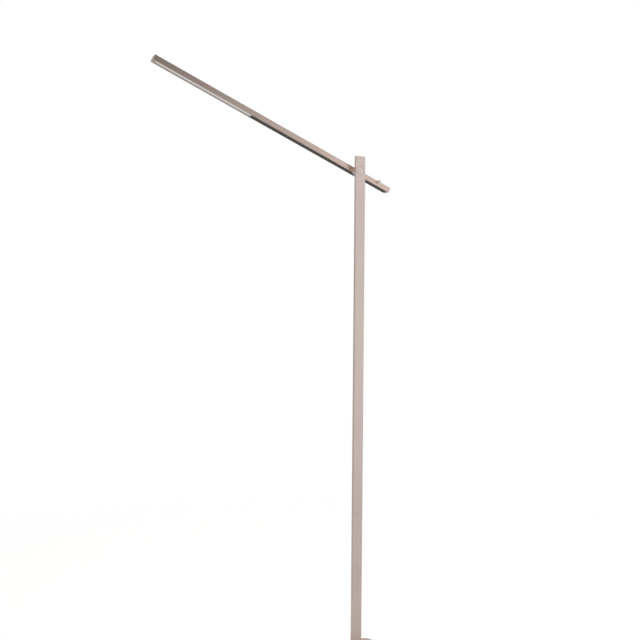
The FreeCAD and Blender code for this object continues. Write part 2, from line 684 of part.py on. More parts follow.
hub_boss = new_body("hub_boss", ARM_PLACEMENT)
turned(hub_boss, "boss", [
    (BOSS_FRONT, "axle_diameter / 2 + axle_clear"),
    (HEAD_FRONT, "axle_diameter / 2 + axle_clear"),
    (HEAD_FRONT, "axle_head_diameter / 2 + axle_clear"),
    (ARM_NEAR, "axle_head_diameter / 2 + axle_clear"),
    (ARM_NEAR, "hub_diameter / 2 - boss_edge / 2"),
    (f"{ARM_NEAR} - boss_edge / 2", "hub_diameter / 2"),
    (f"{BOSS_FRONT} + boss_edge / 2", "hub_diameter / 2"),
    (BOSS_FRONT, "hub_diameter / 2 - boss_edge / 2"),
])
pocket(hub_boss, "stop_pin_hole", "Y", BOSS_FRONT, f"{BOSS_FRONT} + stop_pin_seat", lambda sketch: circle(
    sketch, "0", "stop_orbit", "stop_pin_diameter"))
for side, sign_across in (("tip", "-"), ("tail", "")):
    place = f"{sign_across}boss_screw_orbit"
    pocket(hub_boss, f"screw_hole_{side}", "Y", f"{ARM_NEAR} - boss_screw_depth - part_gap", ARM_NEAR,
           lambda sketch: circle(sketch, place, "0", "boss_screw_thread + part_gap"))

pivot_axle = new_body("pivot_axle", ARM_PLACEMENT)
turned(pivot_axle, "hollow_bolt", [
    (f"{NUT_FRONT} - part_gap", "axle_bore / 2"),
    (f"{NUT_FRONT} - part_gap", "axle_diameter / 2"),
    (HEAD_FRONT, "axle_diameter / 2"),
    (HEAD_FRONT, "axle_head_diameter / 2"),
    (ARM_NEAR, "axle_head_diameter / 2"),
    (ARM_NEAR, "axle_bore / 2"),
])

axle_nut = new_body("axle_nut", ARM_PLACEMENT)
NUT_CORNER = "(lock_nut_flats / 2 / cos(30))"
NUT_SIDE = f"({NUT_CORNER} / 2)"
pad(axle_nut, "hexagon", "Y", NUT_FRONT, NUT_BACK, lambda sketch: outline(sketch, [
    (NUT_CORNER, "0"),
    (NUT_SIDE, "lock_nut_flats / 2"),
    (f"-{NUT_SIDE}", "lock_nut_flats / 2"),
    (f"-{NUT_CORNER}", "0"),
    (f"-{NUT_SIDE}", "-lock_nut_flats / 2"),
    (NUT_SIDE, "-lock_nut_flats / 2"),
]))
pocket(axle_nut, "bore", "Y", NUT_FRONT, NUT_BACK, lambda sketch: circle(
    sketch, "0", "0", "axle_diameter + part_gap"))

spring_washer = new_body("spring_washer", ARM_PLACEMENT)
turned(spring_washer, "dish", [
    (NUT_BACK, "axle_diameter / 2 + axle_clear"),
    (f"{NUT_BACK} + spring_thickness", "axle_diameter / 2 + axle_clear"),
    (f"{NUT_BACK} + spring_thickness + spring_dish", "seat_diameter / 2 - spring_clear"),
    (f"{NUT_BACK} + spring_dish", "seat_diameter / 2 - spring_clear"),
])

stop_pin = new_body("stop_pin", ARM_PLACEMENT)
pad(stop_pin, "pin", "Y", f"{SLEEVE_BACK} - stop_groove_depth + stop_groove_clear",
    f"{BOSS_FRONT} + stop_pin_seat", lambda sketch: circle(sketch, "0", "stop_orbit", "stop_pin_diameter"))

boss_screws = new_body("boss_screws", ARM_PLACEMENT)
for side, sign_across in (("tip", "-"), ("tail", "")):
    place = f"{sign_across}boss_screw_orbit"
    pad(boss_screws, f"shank_{side}", "Y", f"{ARM_NEAR} - boss_screw_depth", CAVITY_NEAR,
        lambda sketch: circle(sketch, place, "0", "boss_screw_thread"))
    pad(boss_screws, f"head_{side}", "Y", CAVITY_NEAR, f"{CAVITY_NEAR} + boss_screw_head_rise",
        lambda sketch: circle(sketch, place, "0", "boss_screw_head"))

# ---------------------------------------------------------------- arm
# The arm's bodies turn about the pivot together: +X is their tail, -X their tip.

GROOVE_LOW = f"({DIFFUSER_LOW} - part_gap)"
GROOVE_HIGH = f"({DIFFUSER_HIGH} + part_gap)"


def channel_section(sketch):
    """Inverted channel with a groove along each wall for the diffuser."""
    outline(sketch, [
        (ARM_NEAR, ARM_LOW),
        (CAVITY_NEAR, ARM_LOW),
        (CAVITY_NEAR, GROOVE_LOW),
        (f"{CAVITY_NEAR} - groove_depth", GROOVE_LOW),
        (f"{CAVITY_NEAR} - groove_depth", GROOVE_HIGH),
        (CAVITY_NEAR, GROOVE_HIGH),
        (CAVITY_NEAR, WEB_LOW),
        (CAVITY_FAR, WEB_LOW),
        (CAVITY_FAR, GROOVE_HIGH),
        (f"{CAVITY_FAR} + groove_depth", GROOVE_HIGH),
        (f"{CAVITY_FAR} + groove_depth", GROOVE_LOW),
        (CAVITY_FAR, GROOVE_LOW),
        (CAVITY_FAR, ARM_LOW),
        (ARM_FAR, ARM_LOW),
        (ARM_FAR, ARM_TOP),
        (ARM_NEAR, ARM_TOP),
    ])


def outer_top_edges(body):
    """The two long upper edges of an arm section, in the body's own frame."""
    near = size("post_depth") / 2 + size("hub_length")
    sides = (near, near + size("arm_width"))
    names = []
    for number, edge in enumerate(body.Tip.Shape.Edges, start=1):
        middle = edge.CenterOfMass
        on_top = abs(middle.z - size("arm_height") / 2) < 1e-3
        on_side = min(abs(middle.y - side) for side in sides) < 1e-3
        if on_top and on_side:
            names.append(f"Edge{number}")
    return names


def end_face_edges(body, reach, low):
    """Edges round the outer face of an end cap: the low one alone, or the others."""
    names = []
    for number, edge in enumerate(body.Tip.Shape.Edges, start=1):
        on_face = all(abs(vertex.X - reach) < 1e-3 for vertex in edge.Vertexes)
        across = len({round(vertex.Z, 3) for vertex in edge.Vertexes}) == 1
        is_low = across and edge.CenterOfMass.z < 0
        if on_face and is_low == low:
            names.append(f"Edge{number}")
    return names


def lever_pocket(sketch):
    """Room for the lever's tab to swing: wider towards the arm's top edge."""
    swing = "((arm_height / 2 - lever_rise) / tan(lever_angle)"
    half_top = f"{swing} + lever_tab_width / 2 / sin(lever_angle) + lever_clear)"
    outline(sketch, [
        ("lever_place - lever_diameter / 2 - lever_disc_gap", "lever_rise"),
        ("lever_place + lever_diameter / 2 + lever_disc_gap", "lever_rise"),
        (f"lever_place + {half_top}", f"{ARM_TOP}"),
        (f"lever_place - {half_top}", f"{ARM_TOP}"),
    ])


arm_profile = new_body("arm_profile", ARM_PLACEMENT)
pad(arm_profile, "channel", "X", "-tip_reach + end_plate", "tail_reach - end_plate", channel_section)
soften("Fillet", arm_profile, "top_edges", outer_top_edges(arm_profile), "arm_edge")
pocket(arm_profile, "cable_hole", "Y", ARM_NEAR, CAVITY_NEAR, lambda sketch: circle(
    sketch, "0", "0", "axle_bore"))
for side, sign_across in (("tip", "-"), ("tail", "")):
    pocket(arm_profile, f"boss_screw_hole_{side}", "Y", ARM_NEAR, CAVITY_NEAR, lambda sketch: circle(
        sketch, f"{sign_across}boss_screw_orbit", "0", "boss_screw_thread + 2 * part_gap"))
pocket(arm_profile, "lever_disc_pocket", "Y", ARM_NEAR, POCKET_FACE, lambda sketch: circle(
    sketch, "lever_place", "lever_rise", "lever_diameter + 2 * lever_disc_gap"))
pocket(arm_profile, "lever_swing_pocket", "Y", ARM_NEAR, POCKET_FACE, lever_pocket)
pocket(arm_profile, "spindle_hole", "Y", ARM_NEAR, CAVITY_NEAR, lambda sketch: circle(
    sketch, "lever_place", "lever_rise", "spindle_diameter + 2 * lever_clear"))
board_screw_hole = pocket(arm_profile, "board_screw_hole", "Z", WEB_LOW, f"{WEB_LOW} + arm_web * 3 / 4",
                          lambda sketch: circle(sketch, f"{BOARD_TIP} + board_screw_margin", ARM_MIDDLE,
                                                "board_screw_thread"))
BOARD_SCREW_SPAN = f"({BOARD_ROOT} - ({BOARD_TIP}) - 2 * board_screw_margin)"
row_of(arm_profile, board_screw_hole, "board_screw_holes", "X", BOARD_SCREW_SPAN, "board_screw_count")
DRIVER_TIP = "(-driver_start - driver_length)"
DRIVER_SCREW_SPAN = "(driver_length - 2 * driver_screw_inset)"
driver_screw_hole = pocket(arm_profile, "driver_screw_hole", "Z", WEB_LOW, f"{WEB_LOW} + arm_web * 3 / 4",
                           lambda sketch: circle(sketch, f"{DRIVER_TIP} + driver_screw_inset", ARM_MIDDLE,
                                                 "board_screw_thread"))
row_of(arm_profile, driver_screw_hole, "driver_screw_holes", "X", DRIVER_SCREW_SPAN, "2")


def end_cap(label, outer_from, outer_to, plug_from, plug_to, reach):
    """A plate over the channel's end, with a block that closes the underside behind it."""
    body = new_body(label, ARM_PLACEMENT)
    pad(body, "plate", "X", outer_from, outer_to, lambda sketch: rectangle(
        sketch, ARM_NEAR, ARM_FAR, ARM_LOW, ARM_TOP))
    soften("Fillet", body, "top_edges", outer_top_edges(body), "arm_edge")
    soften("Fillet", body, "low_edge", end_face_edges(body, reach, True), "end_low_edge")
    soften("Fillet", body, "end_edges", end_face_edges(body, reach, False), "end_edge")
    pad(body, "plug", "X", plug_from, plug_to, lambda sketch: rectangle(
        sketch, f"{CAVITY_NEAR} + part_gap / 2", f"{CAVITY_FAR} - part_gap / 2", ARM_LOW,
        f"{WEB_LOW} - part_gap"))
    return body


end_cap("tip_cap", "-tip_reach", "-tip_reach + end_plate", "-tip_reach + end_plate", LIGHT_END,
        -size("tip_reach"))
end_cap("tail_cap", "tail_reach - end_plate", "tail_reach", STRIP_END, "tail_reach - end_plate",
        size("tail_reach"))

diffuser = new_body("diffuser", ARM_PLACEMENT)
pad(diffuser, "sheet", "X", LIGHT_END, "-light_start - part_gap", lambda sketch: rectangle(
    sketch, f"{CAVITY_NEAR} - groove_depth + part_gap", f"{CAVITY_FAR} + groove_depth - part_gap",
    DIFFUSER_LOW, DIFFUSER_HIGH))

STRIP_LOW = f"({ARM_LOW} + strip_recess)"
STRIP_HIGH = f"({STRIP_LOW} + strip_thickness)"
STRIP_NEAR = f"({CAVITY_NEAR} + part_gap)"
STRIP_FAR = f"({CAVITY_FAR} - part_gap)"
TOE_NEAR = f"({CAVITY_NEAR} - groove_depth + part_gap)"
TOE_FAR = f"({CAVITY_FAR} + groove_depth - part_gap)"


def strip_section(sketch):
    """Shallow channel whose toes run in the arm's grooves."""
    outline(sketch, [
        (STRIP_NEAR, STRIP_LOW),
        (STRIP_FAR, STRIP_LOW),
        (STRIP_FAR, DIFFUSER_LOW),
        (TOE_FAR, DIFFUSER_LOW),
        (TOE_FAR, DIFFUSER_HIGH),
        (f"{STRIP_FAR} - strip_leg", DIFFUSER_HIGH),
        (f"{STRIP_FAR} - strip_leg", STRIP_HIGH),
        (f"{STRIP_NEAR} + strip_leg", STRIP_HIGH),
        (f"{STRIP_NEAR} + strip_leg", DIFFUSER_HIGH),
        (TOE_NEAR, DIFFUSER_HIGH),
        (TOE_NEAR, DIFFUSER_LOW),
        (STRIP_NEAR, DIFFUSER_LOW),
    ])


cover_strip = new_body("cover_strip", ARM_PLACEMENT)
pad(cover_strip, "channel", "X", "-light_start", STRIP_END, strip_section)
pad(cover_strip, "end_wall", "X", "-light_start", "-light_start + strip_leg", lambda sketch: rectangle(
    sketch, STRIP_NEAR, STRIP_FAR, STRIP_LOW, DIFFUSER_HIGH))

# ---------------------------------------------------------------- light engine

led_board = new_body("led_board", ARM_PLACEMENT)
pad(led_board, "strip", "X", BOARD_TIP, BOARD_ROOT, lambda sketch: rectangle(
    sketch, f"{ARM_MIDDLE} - board_width / 2", f"{ARM_MIDDLE} + board_width / 2", BOARD_LOW, WEB_LOW))
led_hole = pocket(led_board, "screw_hole", "Z", BOARD_LOW, WEB_LOW, lambda sketch: circle(
    sketch, f"{BOARD_TIP} + board_screw_margin", ARM_MIDDLE, "board_screw_thread + 2 * part_gap"))
row_of(led_board, led_hole, "screw_holes", "X", BOARD_SCREW_SPAN, "board_screw_count")

led_chips = new_body("led_chips", ARM_PLACEMENT)
CHIP_STEPS = f"floor(({BOARD_ROOT} - {BOARD_TIP} - 2 * chip_margin) / chip_pitch)"
CHIP_SPAN = f"({CHIP_STEPS} * chip_pitch)"
CHIP_FIRST = f"(({BOARD_TIP} + {BOARD_ROOT} - {CHIP_SPAN}) / 2)"
CHIP_LINE = f"({ARM_MIDDLE} - board_width / 4)"
chip = pad(led_chips, "chip", "Z", f"{BOARD_LOW} - chip_rise", BOARD_LOW, lambda sketch: rectangle(
    sketch, f"{CHIP_FIRST} - chip_length / 2", f"{CHIP_FIRST} + chip_length / 2",
    f"{CHIP_LINE} - chip_width / 2", f"{CHIP_LINE} + chip_width / 2"))
row_of(led_chips, chip, "row", "X", CHIP_SPAN, f"{CHIP_STEPS} + 1")

led_screws = new_body("led_screws", ARM_PLACEMENT)
led_shank = pad(led_screws, "shank", "Z", BOARD_LOW, f"{WEB_LOW} + arm_web / 2", lambda sketch: circle(
    sketch, f"{BOARD_TIP} + board_screw_margin", ARM_MIDDLE, "board_screw_thread"))
led_head = pad(led_screws, "head", "Z", f"{BOARD_LOW} - board_screw_head_rise", BOARD_LOW,
               lambda sketch: circle(sketch, f"{BOARD_TIP} + board_screw_margin", ARM_MIDDLE,
                                     "board_screw_head"))
led_row = row_of(led_screws, led_shank, "row", "X", BOARD_SCREW_SPAN, "board_screw_count")
led_row.Originals = [led_shank, led_head]
doc.recompute()

# ---------------------------------------------------------------- driver

driver_board = new_body("driver_board", ARM_PLACEMENT)
pad(driver_board, "board", "X", DRIVER_TIP, "-driver_start", lambda sketch: rectangle(
    sketch, f"{ARM_MIDDLE} - driver_width / 2", f"{ARM_MIDDLE} + driver_width / 2", DRIVER_LOW, DRIVER_HIGH))
driver_hole = pocket(driver_board, "screw_hole", "Z", DRIVER_LOW, DRIVER_HIGH, lambda sketch: circle(
    sketch, f"{DRIVER_TIP} + driver_screw_inset", ARM_MIDDLE, "board_screw_thread + 2 * part_gap"))
row_of(driver_board, driver_hole, "screw_holes", "X", DRIVER_SCREW_SPAN, "2")

driver_spacers = new_body("driver_spacers", ARM_PLACEMENT)


def spacer_ring(sketch):
    """The ring section of one spacer."""
    circle(sketch, f"{DRIVER_TIP} + driver_screw_inset", ARM_MIDDLE, "driver_spacer_diameter")
    circle(sketch, f"{DRIVER_TIP} + driver_screw_inset", ARM_MIDDLE, "board_screw_thread + 2 * part_gap")


spacer = pad(driver_spacers, "ring", "Z", DRIVER_HIGH, WEB_LOW, spacer_ring)
row_of(driver_spacers, spacer, "pair", "X", DRIVER_SCREW_SPAN, "2")

driver_screws = new_body("driver_screws", ARM_PLACEMENT)
driver_shank = pad(driver_screws, "shank", "Z", DRIVER_LOW, f"{WEB_LOW} + arm_web / 2", lambda sketch: circle(
    sketch, f"{DRIVER_TIP} + driver_screw_inset", ARM_MIDDLE, "board_screw_thread"))
driver_head = pad(driver_screws, "head", "Z", f"{DRIVER_LOW} - board_screw_head_rise", DRIVER_LOW,
                  lambda sketch: circle(sketch, f"{DRIVER_TIP} + driver_screw_inset", ARM_MIDDLE,
                                        "board_screw_head"))
driver_row = row_of(driver_screws, driver_shank, "pair", "X", DRIVER_SCREW_SPAN, "2")
driver_row.Originals = [driver_shank, driver_head]
doc.recompute()

driver_parts = new_body("driver_parts", ARM_PLACEMENT)
pad(driver_parts, "coil", "Z", f"{DRIVER_LOW} - coil_rise", DRIVER_LOW, lambda sketch: circle(
    sketch, f"{DRIVER_TIP} + driver_length / 4", ARM_MIDDLE, "coil_diameter"))
pad(driver_parts, "can", "X", f"{DRIVER_TIP} + driver_length * 2 / 5",
    f"{DRIVER_TIP} + driver_length * 2 / 5 + can_length", lambda sketch: circle(
        sketch, f"{ARM_MIDDLE} + driver_width / 5", f"{DRIVER_LOW} - can_diameter / 2", "can_diameter"))
for number in (1, 2, 3):
    start = f"{DRIVER_TIP} + driver_length * ({number} + 5) / 10"
    pad(driver_parts, f"chip_{number}", "X", start, f"{start} + chip_block", lambda sketch: rectangle(
        sketch, f"{ARM_MIDDLE} - chip_block", ARM_MIDDLE, f"{DRIVER_LOW} - chip_block_rise", DRIVER_LOW))

# ---------------------------------------------------------------- dimmer and its lever

dimmer_body = new_body("dimmer_body", ARM_PLACEMENT)
pad(dimmer_body, "case", "Y", CAVITY_NEAR, f"{CAVITY_NEAR} + dimmer_depth", lambda sketch: rectangle(
    sketch, "lever_place - dimmer_width / 2", "lever_place + dimmer_width / 2",
    "lever_rise - dimmer_height / 2", "lever_rise + dimmer_height / 2"))
pocket(dimmer_body, "spindle_bore", "Y", CAVITY_NEAR, f"{CAVITY_NEAR} + spindle_length + lever_clear",
       lambda sketch: circle(sketch, "lever_place", "lever_rise", "spindle_diameter + 2 * spindle_clear"))


def lever_tab(start):
    """The lever's tab, from a distance out of its middle to its rounded end."""
    def draw(sketch):
        side_across = "lever_tab_width / 2 * sin(lever_angle)"
        side_up = "lever_tab_width / 2 * cos(lever_angle)"
        corners = []
        for reach, sign in ((start, 1), ("lever_reach", 1), ("lever_reach", -1), (start, -1)):
            corners.append((f"lever_place + {reach} * cos(lever_angle) + {sign} * {side_across}",
                            f"lever_rise + {reach} * sin(lever_angle) - {sign} * {side_up}"))
        outline(sketch, corners)
    return draw


dimmer_lever = new_body("dimmer_lever", ARM_PLACEMENT)
pad(dimmer_lever, "disc", "Y", ARM_NEAR, LEVER_FACE, lambda sketch: circle(
    sketch, "lever_place", "lever_rise", "lever_diameter"))
pad(dimmer_lever, "tab", "Y", ARM_NEAR, LEVER_FACE, lever_tab("0"))
pad(dimmer_lever, "knob", "Y", ARM_NEAR, f"{ARM_NEAR} + lever_knob_thickness", lever_tab("lever_knob_start"))
pad(dimmer_lever, "spindle", "Y", LEVER_FACE, f"{CAVITY_NEAR} + spindle_length", lambda sketch: circle(
    sketch, "lever_place", "lever_rise", "spindle_diameter"))

# ---------------------------------------------------------------- wiring

gland_height = size("pad_thickness") + size("gland_rise")
gland_inner = size("plate_breadth") / 2 - size("gland_length")
pivot_height = size("post_top") - size("pivot_drop")
set_back = -size("cable_set_back")
hub_end = set_back + size("cable_hub_bend") + size("part_gap")
cable("post_cable", [
    FreeCAD.Vector(0, gland_inner, gland_height),
    FreeCAD.Vector(0, set_back, gland_height),
    FreeCAD.Vector(0, set_back, pivot_height),
    FreeCAD.Vector(0, hub_end, pivot_height),
], [size("cable_foot_bend"), size("cable_hub_bend")], size("cable_diameter"))

arm_near = size("post_depth") / 2 + size("hub_length")
arm_middle = arm_near + size("arm_width") / 2
web_low = size("arm_height") / 2 - size("arm_web")
driver_low = web_low - size("driver_spacer") - size("board_thickness")
cable("arm_cable", [
    FreeCAD.Vector(0, hub_end + size("lever_clear"), 0),
    FreeCAD.Vector(0, arm_middle, 0),
    FreeCAD.Vector(-size("driver_start"), arm_middle, 0),
], [size("cable_arm_bend")], size("cable_diameter"), ARM_PLACEMENT)

lead_height = web_low - size("lead_diameter") / 2
lead_inset = size("driver_width") / 4
board_root = -size("light_start") - size("board_margin")
driver_tip = -size("driver_start") - size("driver_length")
for label, lead_from, lead_to, depth in (
        ("led_lead", driver_tip, board_root, arm_middle + lead_inset),
        ("dimmer_lead", -size("driver_start"), size("lever_place") - size("dimmer_width") / 2,
         arm_near + size("arm_wall") + size("dimmer_depth") / 2)):
    cable(label, [FreeCAD.Vector(lead_from, depth, lead_height), FreeCAD.Vector(lead_to, depth, lead_height)],
          [], size("lead_diameter"), ARM_PLACEMENT)

# ---------------------------------------------------------------- check and write

doc.recompute()
for thing in doc.Objects:
    if "Invalid" in thing.State or "Error" in thing.State:
        raise RuntimeError(f"{thing.Name} failed: {thing.State}")

os.makedirs("parts", exist_ok=True)
for node in NODES:
    if node.Shape.isNull() or not node.Shape.isValid() or not node.Shape.Solids:
        raise RuntimeError(f"{node.Label} has no valid solid")
    node.Shape.exportStep(f"parts/{node.Label}.step")
print(f"{len(NODES)} nodes written")
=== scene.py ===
import json
import math

import bmesh
import bpy
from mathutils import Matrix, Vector


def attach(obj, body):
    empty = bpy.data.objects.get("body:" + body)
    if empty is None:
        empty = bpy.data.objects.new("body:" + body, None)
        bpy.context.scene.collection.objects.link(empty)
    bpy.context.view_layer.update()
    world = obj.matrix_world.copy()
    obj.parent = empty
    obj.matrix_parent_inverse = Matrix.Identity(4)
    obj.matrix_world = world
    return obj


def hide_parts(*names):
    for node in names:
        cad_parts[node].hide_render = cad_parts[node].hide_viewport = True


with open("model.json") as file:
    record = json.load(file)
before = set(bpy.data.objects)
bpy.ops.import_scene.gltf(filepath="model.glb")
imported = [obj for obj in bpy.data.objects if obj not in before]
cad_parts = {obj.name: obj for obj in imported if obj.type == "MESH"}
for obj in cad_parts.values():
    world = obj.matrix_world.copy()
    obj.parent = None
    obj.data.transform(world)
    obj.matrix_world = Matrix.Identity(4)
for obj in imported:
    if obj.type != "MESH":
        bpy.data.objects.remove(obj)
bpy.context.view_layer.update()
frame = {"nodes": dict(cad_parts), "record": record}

# Office floor lamp: a slim extruded post on a coated steel base, with a straight LED arm that
# tilts on a round hub behind the post's top. Sizes are millimetres, as on the drawing. X runs
# from the arm's tip to its tail, Y from the post's front to its back, and Z up.

MM = 0.001
X = 0
Y = 1
Z = 2

# a plug, shank, barrel or skirt starts this far inside what it is welded to, and a cut runs
# this far past the face that it opens
LAP = 0.4
PAST = 2.0

# an edge is broken from the one angle on, and shaded smooth up to the other
SHARP_ANGLE = 40.0
SMOOTH_ANGLE = 38.0

# how near counts as at a place, as on a round rim and as one point
NEAR = 0.02
NEAR_RIM = 0.05
NEAR_POINT = 0.002

# how straight an edge runs along an axis, and how squarely a face looks along one
STRAIGHT = 0.999
SQUARE = 0.9

# base plate, its rubber pad, and the cable inlet in its back
PLATE_LEFT = -190.0
PLATE_RIGHT = 110.0
PLATE_BACK = 120.0
PLATE_TOP = 12.0
PLATE_CORNER = 26.0
PLATE_TOP_EDGE = 1.2
PLATE_LOW_EDGE = 0.4
PAD_MARGIN = 5.0
PAD_TOP = 2.0
PAD_RIM = 6.0
PAD_SUNK = 0.4
RIB_COUNT = 9
RIB_LEFT = -168.0
RIB_PITCH = 30.0
RIB_WIDTH = 16.0
RIB_END = 105.0
RIB_TOP = 1.0
RIB_EDGE = 0.2
INLET = (0.0, 6.5)
INLET_BORE = 7.0
INLET_DEPTH = 24.0
BUSH_DIAMETER = 6.8
BUSH_DEPTH = 14.0
BUSH_RIM = 1.6
BUSH_RIM_DIAMETER = 8.6
BUSH_RIM_EDGE = 0.5
BUSH_BORE = 3.4
BUSH_BORE_EDGE = 0.4

# post, its cap, and the screws in its back
POST_HALF = 16.0
POST_FRONT = -5.5
POST_BACK = 5.5
POST_WALL = 1.8
POST_EDGE = 0.8
POST_TOP = 1548.5
CAP_TOP = 1550.0
CAP_TOP_EDGE = 0.3
CAP_SEAM_EDGE = 0.12
CAP_PLUG_GAP = 0.15
CAP_PLUG_DEPTH = 9.0
CAP_PLUG_EDGE = 0.3
SCREW_LOW = 37.0
SCREW_HIGH = 79.0
SCREW_SIDE = 8.0
SCREW_END = 0.85
SCREW_DIAMETER = 4.0
SCREW_HEAD = 2.0
SCREW_HEAD_DIAMETER = 7.4
SCREW_HEAD_EDGE = 1.4
SOCKET_FLOOR = 0.6
SOCKET_DIAMETER = 2.9

# pivot disc, and the two halves of the hub
PIVOT_HEIGHT = 1507.5
PIVOT = (0.0, PIVOT_HEIGHT)
DISC_HOLE = 27.0
DISC_GAP = 0.2
DISC_SEAM_EDGE = 0.6
DISC_BACK = -4.3
SKIRT_BACK = -1.3
SKIRT_DIAMETER = 15.8
SKIRT_BORE = 13.8
HUB_DIAMETER = 31.0
BARREL_DIAMETER = 20.0
BARREL_HOLE = 20.2
JOURNAL_FRONT = 3.2
JOURNAL_BORE = 10.1
SEAT_BORE = 16.0
SLEEVE_BACK = 8.5
SLEEVE_EDGE = 0.3
BOSS_FRONT = 9.35
BOSS_EDGE = 0.5
HEAD_SEAT = 2.5
HEAD_SEAT_BORE = 15.7

# arm, drawn level, with the pivot as its zero
ARM_NEAR = 22.5
ARM_FAR = 49.5
ARM_HALF = 8.0
ARM_WALL = 1.8
ARM_TILT = 22.5
ARM_TOP_EDGE = 0.5
ARM_LOW_EDGE = 0.15
TIP_REACH = 694.0
TAIL_REACH = 130.0
END_PLATE = 6.0
END_DEPTH = 8.5
END_LOW_EDGE = 2.0
END_EDGE = 1.2
END_PLUG_EDGE = 0.2
END_PLUG_GAP = 0.05
END_PLUG_DROP = 2.1
LIGHT_START = 370.0
SHEET_TOP = -2.8
SHEET_BOTTOM = -4.3
SHEET_HALF = 12.4
SHEET_CROWN = 0.25
SHEET_ROWS = 12
SHEET_GAP = 0.1
STRIP_INSET = 1.9
STRIP_BOTTOM = -7.7
STRIP_EDGE = 0.3
STRIP_LEG = 1.2
STRIP_SUNK = 3.5

# dimmer lever, drawn lying along the arm, and the recess that it swings in, which fans out to
# RECESS_SPREAD times its width at its top
LEVER_PLACE = 77.0
LEVER_RISE = 2.5
LEVER_ANGLE = 42.0
LEVER_DIAMETER = 8.0
LEVER_THICKNESS = 1.2
LEVER_REACH = 16.0
LEVER_HALF = 2.0
LEVER_EDGE = 0.2
KNOB_START = 11.2
KNOB_THICKNESS = 3.0
SPINDLE_START = 1.0
SPINDLE_END = 6.8
SPINDLE_DIAMETER = 4.0
SPINDLE_HOLE = 4.6
RECESS_DEPTH = 1.35
RECESS_HALF = 5.0
RECESS_RISE = 0.4
RECESS_SPREAD = 1.943


# ---------------------------------------------------------------- handling a piece

def take(piece):
    """Leave one piece selected, and nothing else."""
    bpy.ops.object.select_all(action="DESELECT")
    piece.select_set(True)
    bpy.context.view_layer.objects.active = piece


def open_mesh(piece):
    """Start shaping a piece, with nothing picked."""
    take(piece)
    bpy.ops.object.mode_set(mode="EDIT")
    bpy.ops.mesh.select_all(action="DESELECT")


def close_mesh():
    """Stop shaping."""
    bpy.ops.object.mode_set(mode="OBJECT")


def pick(piece, kind, wanted):
    """Pick the faces, edges or points that fit."""
    bpy.ops.mesh.select_mode(type=kind)
    bpy.ops.mesh.select_all(action="DESELECT")
    mesh = bmesh.from_edit_mesh(piece.data)
    parts = {"FACE": mesh.faces, "EDGE": mesh.edges, "VERT": mesh.verts}[kind]
    for part in parts:
        if wanted(part):
            part.select_set(True)
    mesh.select_flush_mode()
    bmesh.update_edit_mesh(piece.data)


def at(points, axis, place):
    """True if all the points lie at a place, in millimetres, along an axis."""
    return all(abs(point.co[axis] - place * MM) < NEAR * MM for point in points)


def runs_along(edge, axis):
    """True for an edge that runs along an axis."""
    step = edge.verts[1].co - edge.verts[0].co
    return abs(step.normalized()[axis]) > STRAIGHT


def on_ring(edge, place, centre, diameter):
    """True for an edge of a round rim: at a place along Y, round a centre (across, up)."""
    across, up = centre
    for point in edge.verts:
        out = math.hypot(point.co.x - across * MM, point.co.z - up * MM)
        if abs(out - diameter / 2 * MM) > NEAR_RIM * MM:
            return False
    return at(edge.verts, Y, place)


def settle(piece):
    """Put the piece's place, turn and size into its mesh."""
    take(piece)
    bpy.ops.object.transform_apply(location=True, rotation=True, scale=True)


def block(name, low, high):
    """A block between two corners."""
    low = Vector(low) * MM
    high = Vector(high) * MM
    bpy.ops.mesh.primitive_cube_add(size=1.0, location=(low + high) / 2, scale=high - low)
    piece = bpy.context.active_object
    piece.name = name
    settle(piece)
    return piece


def rod(name, start, end, centre, diameter, sides=96):
    """A round bar along Y, from start to end, about a centre (across, up)."""
    across, up = centre
    bpy.ops.mesh.primitive_cylinder_add(
        vertices=sides, radius=diameter / 2 * MM, depth=(end - start) * MM,
        location=(across * MM, (start + end) / 2 * MM, up * MM), rotation=(math.pi / 2, 0.0, 0.0))
    piece = bpy.context.active_object
    piece.name = name
    settle(piece)
    return piece


def combine(piece, other, operation):
    """Cut the other piece out of this one, or weld it on."""
    take(piece)
    modifier = piece.modifiers.new("combine", "BOOLEAN")
    modifier.operation = operation
    modifier.solver = "EXACT"
    modifier.object = other
    bpy.ops.object.modifier_apply(modifier=modifier.name)
    bpy.data.objects.remove(other)


def break_edges(piece, wanted, width, segments):
    """Round the edges that fit, by a width in millimetres."""
    open_mesh(piece)
    pick(piece, "EDGE", wanted)
    bpy.ops.mesh.bevel(offset=width * MM, segments=segments, affect="EDGES", clamp_overlap=True)
    close_mesh()


def break_corners(piece, width, segments=2):
    """Round all the sharp edges of a piece."""
    take(piece)
    modifier = piece.modifiers.new("broken edges", "BEVEL")
    modifier.width = width * MM
    modifier.segments = segments
    modifier.limit_method = "ANGLE"
    modifier.angle_limit = math.radians(SHARP_ANGLE)
    bpy.ops.object.modifier_apply(modifier=modifier.name)


def finish_piece(piece, body, node):
    """Smooth and clean a piece, give it its node's finish, hang it on its body, and hide the node that it
    replaces.
    """
    open_mesh(piece)
    bpy.ops.mesh.select_all(action="SELECT")
    bpy.ops.mesh.remove_doubles(threshold=NEAR_POINT * MM)
    bpy.ops.mesh.normals_make_consistent(inside=False)
    close_mesh()
    bpy.ops.object.shade_smooth_by_angle(angle=math.radians(SMOOTH_ANGLE))
    modifier = piece.modifiers.new("flat faces stay flat", "WEIGHTED_NORMAL")
    modifier.mode = "FACE_AREA"
    modifier.weight = 100
    modifier.keep_sharp = True
    bpy.ops.object.modifier_apply(modifier=modifier.name)
    piece.data.materials.clear()
    piece.data.materials.append(FINISHES[SLOT_OF[node]])
    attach(piece, body)
    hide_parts(node)


def hang_on_arm(piece):
    """Bring a piece that was drawn level to the pivot, at the tilt that the arm has at rest."""
    piece.rotation_euler = (0.0, math.radians(ARM_TILT), 0.0)
    piece.location = (0.0, 0.0, PIVOT_HEIGHT * MM)
    settle(piece)


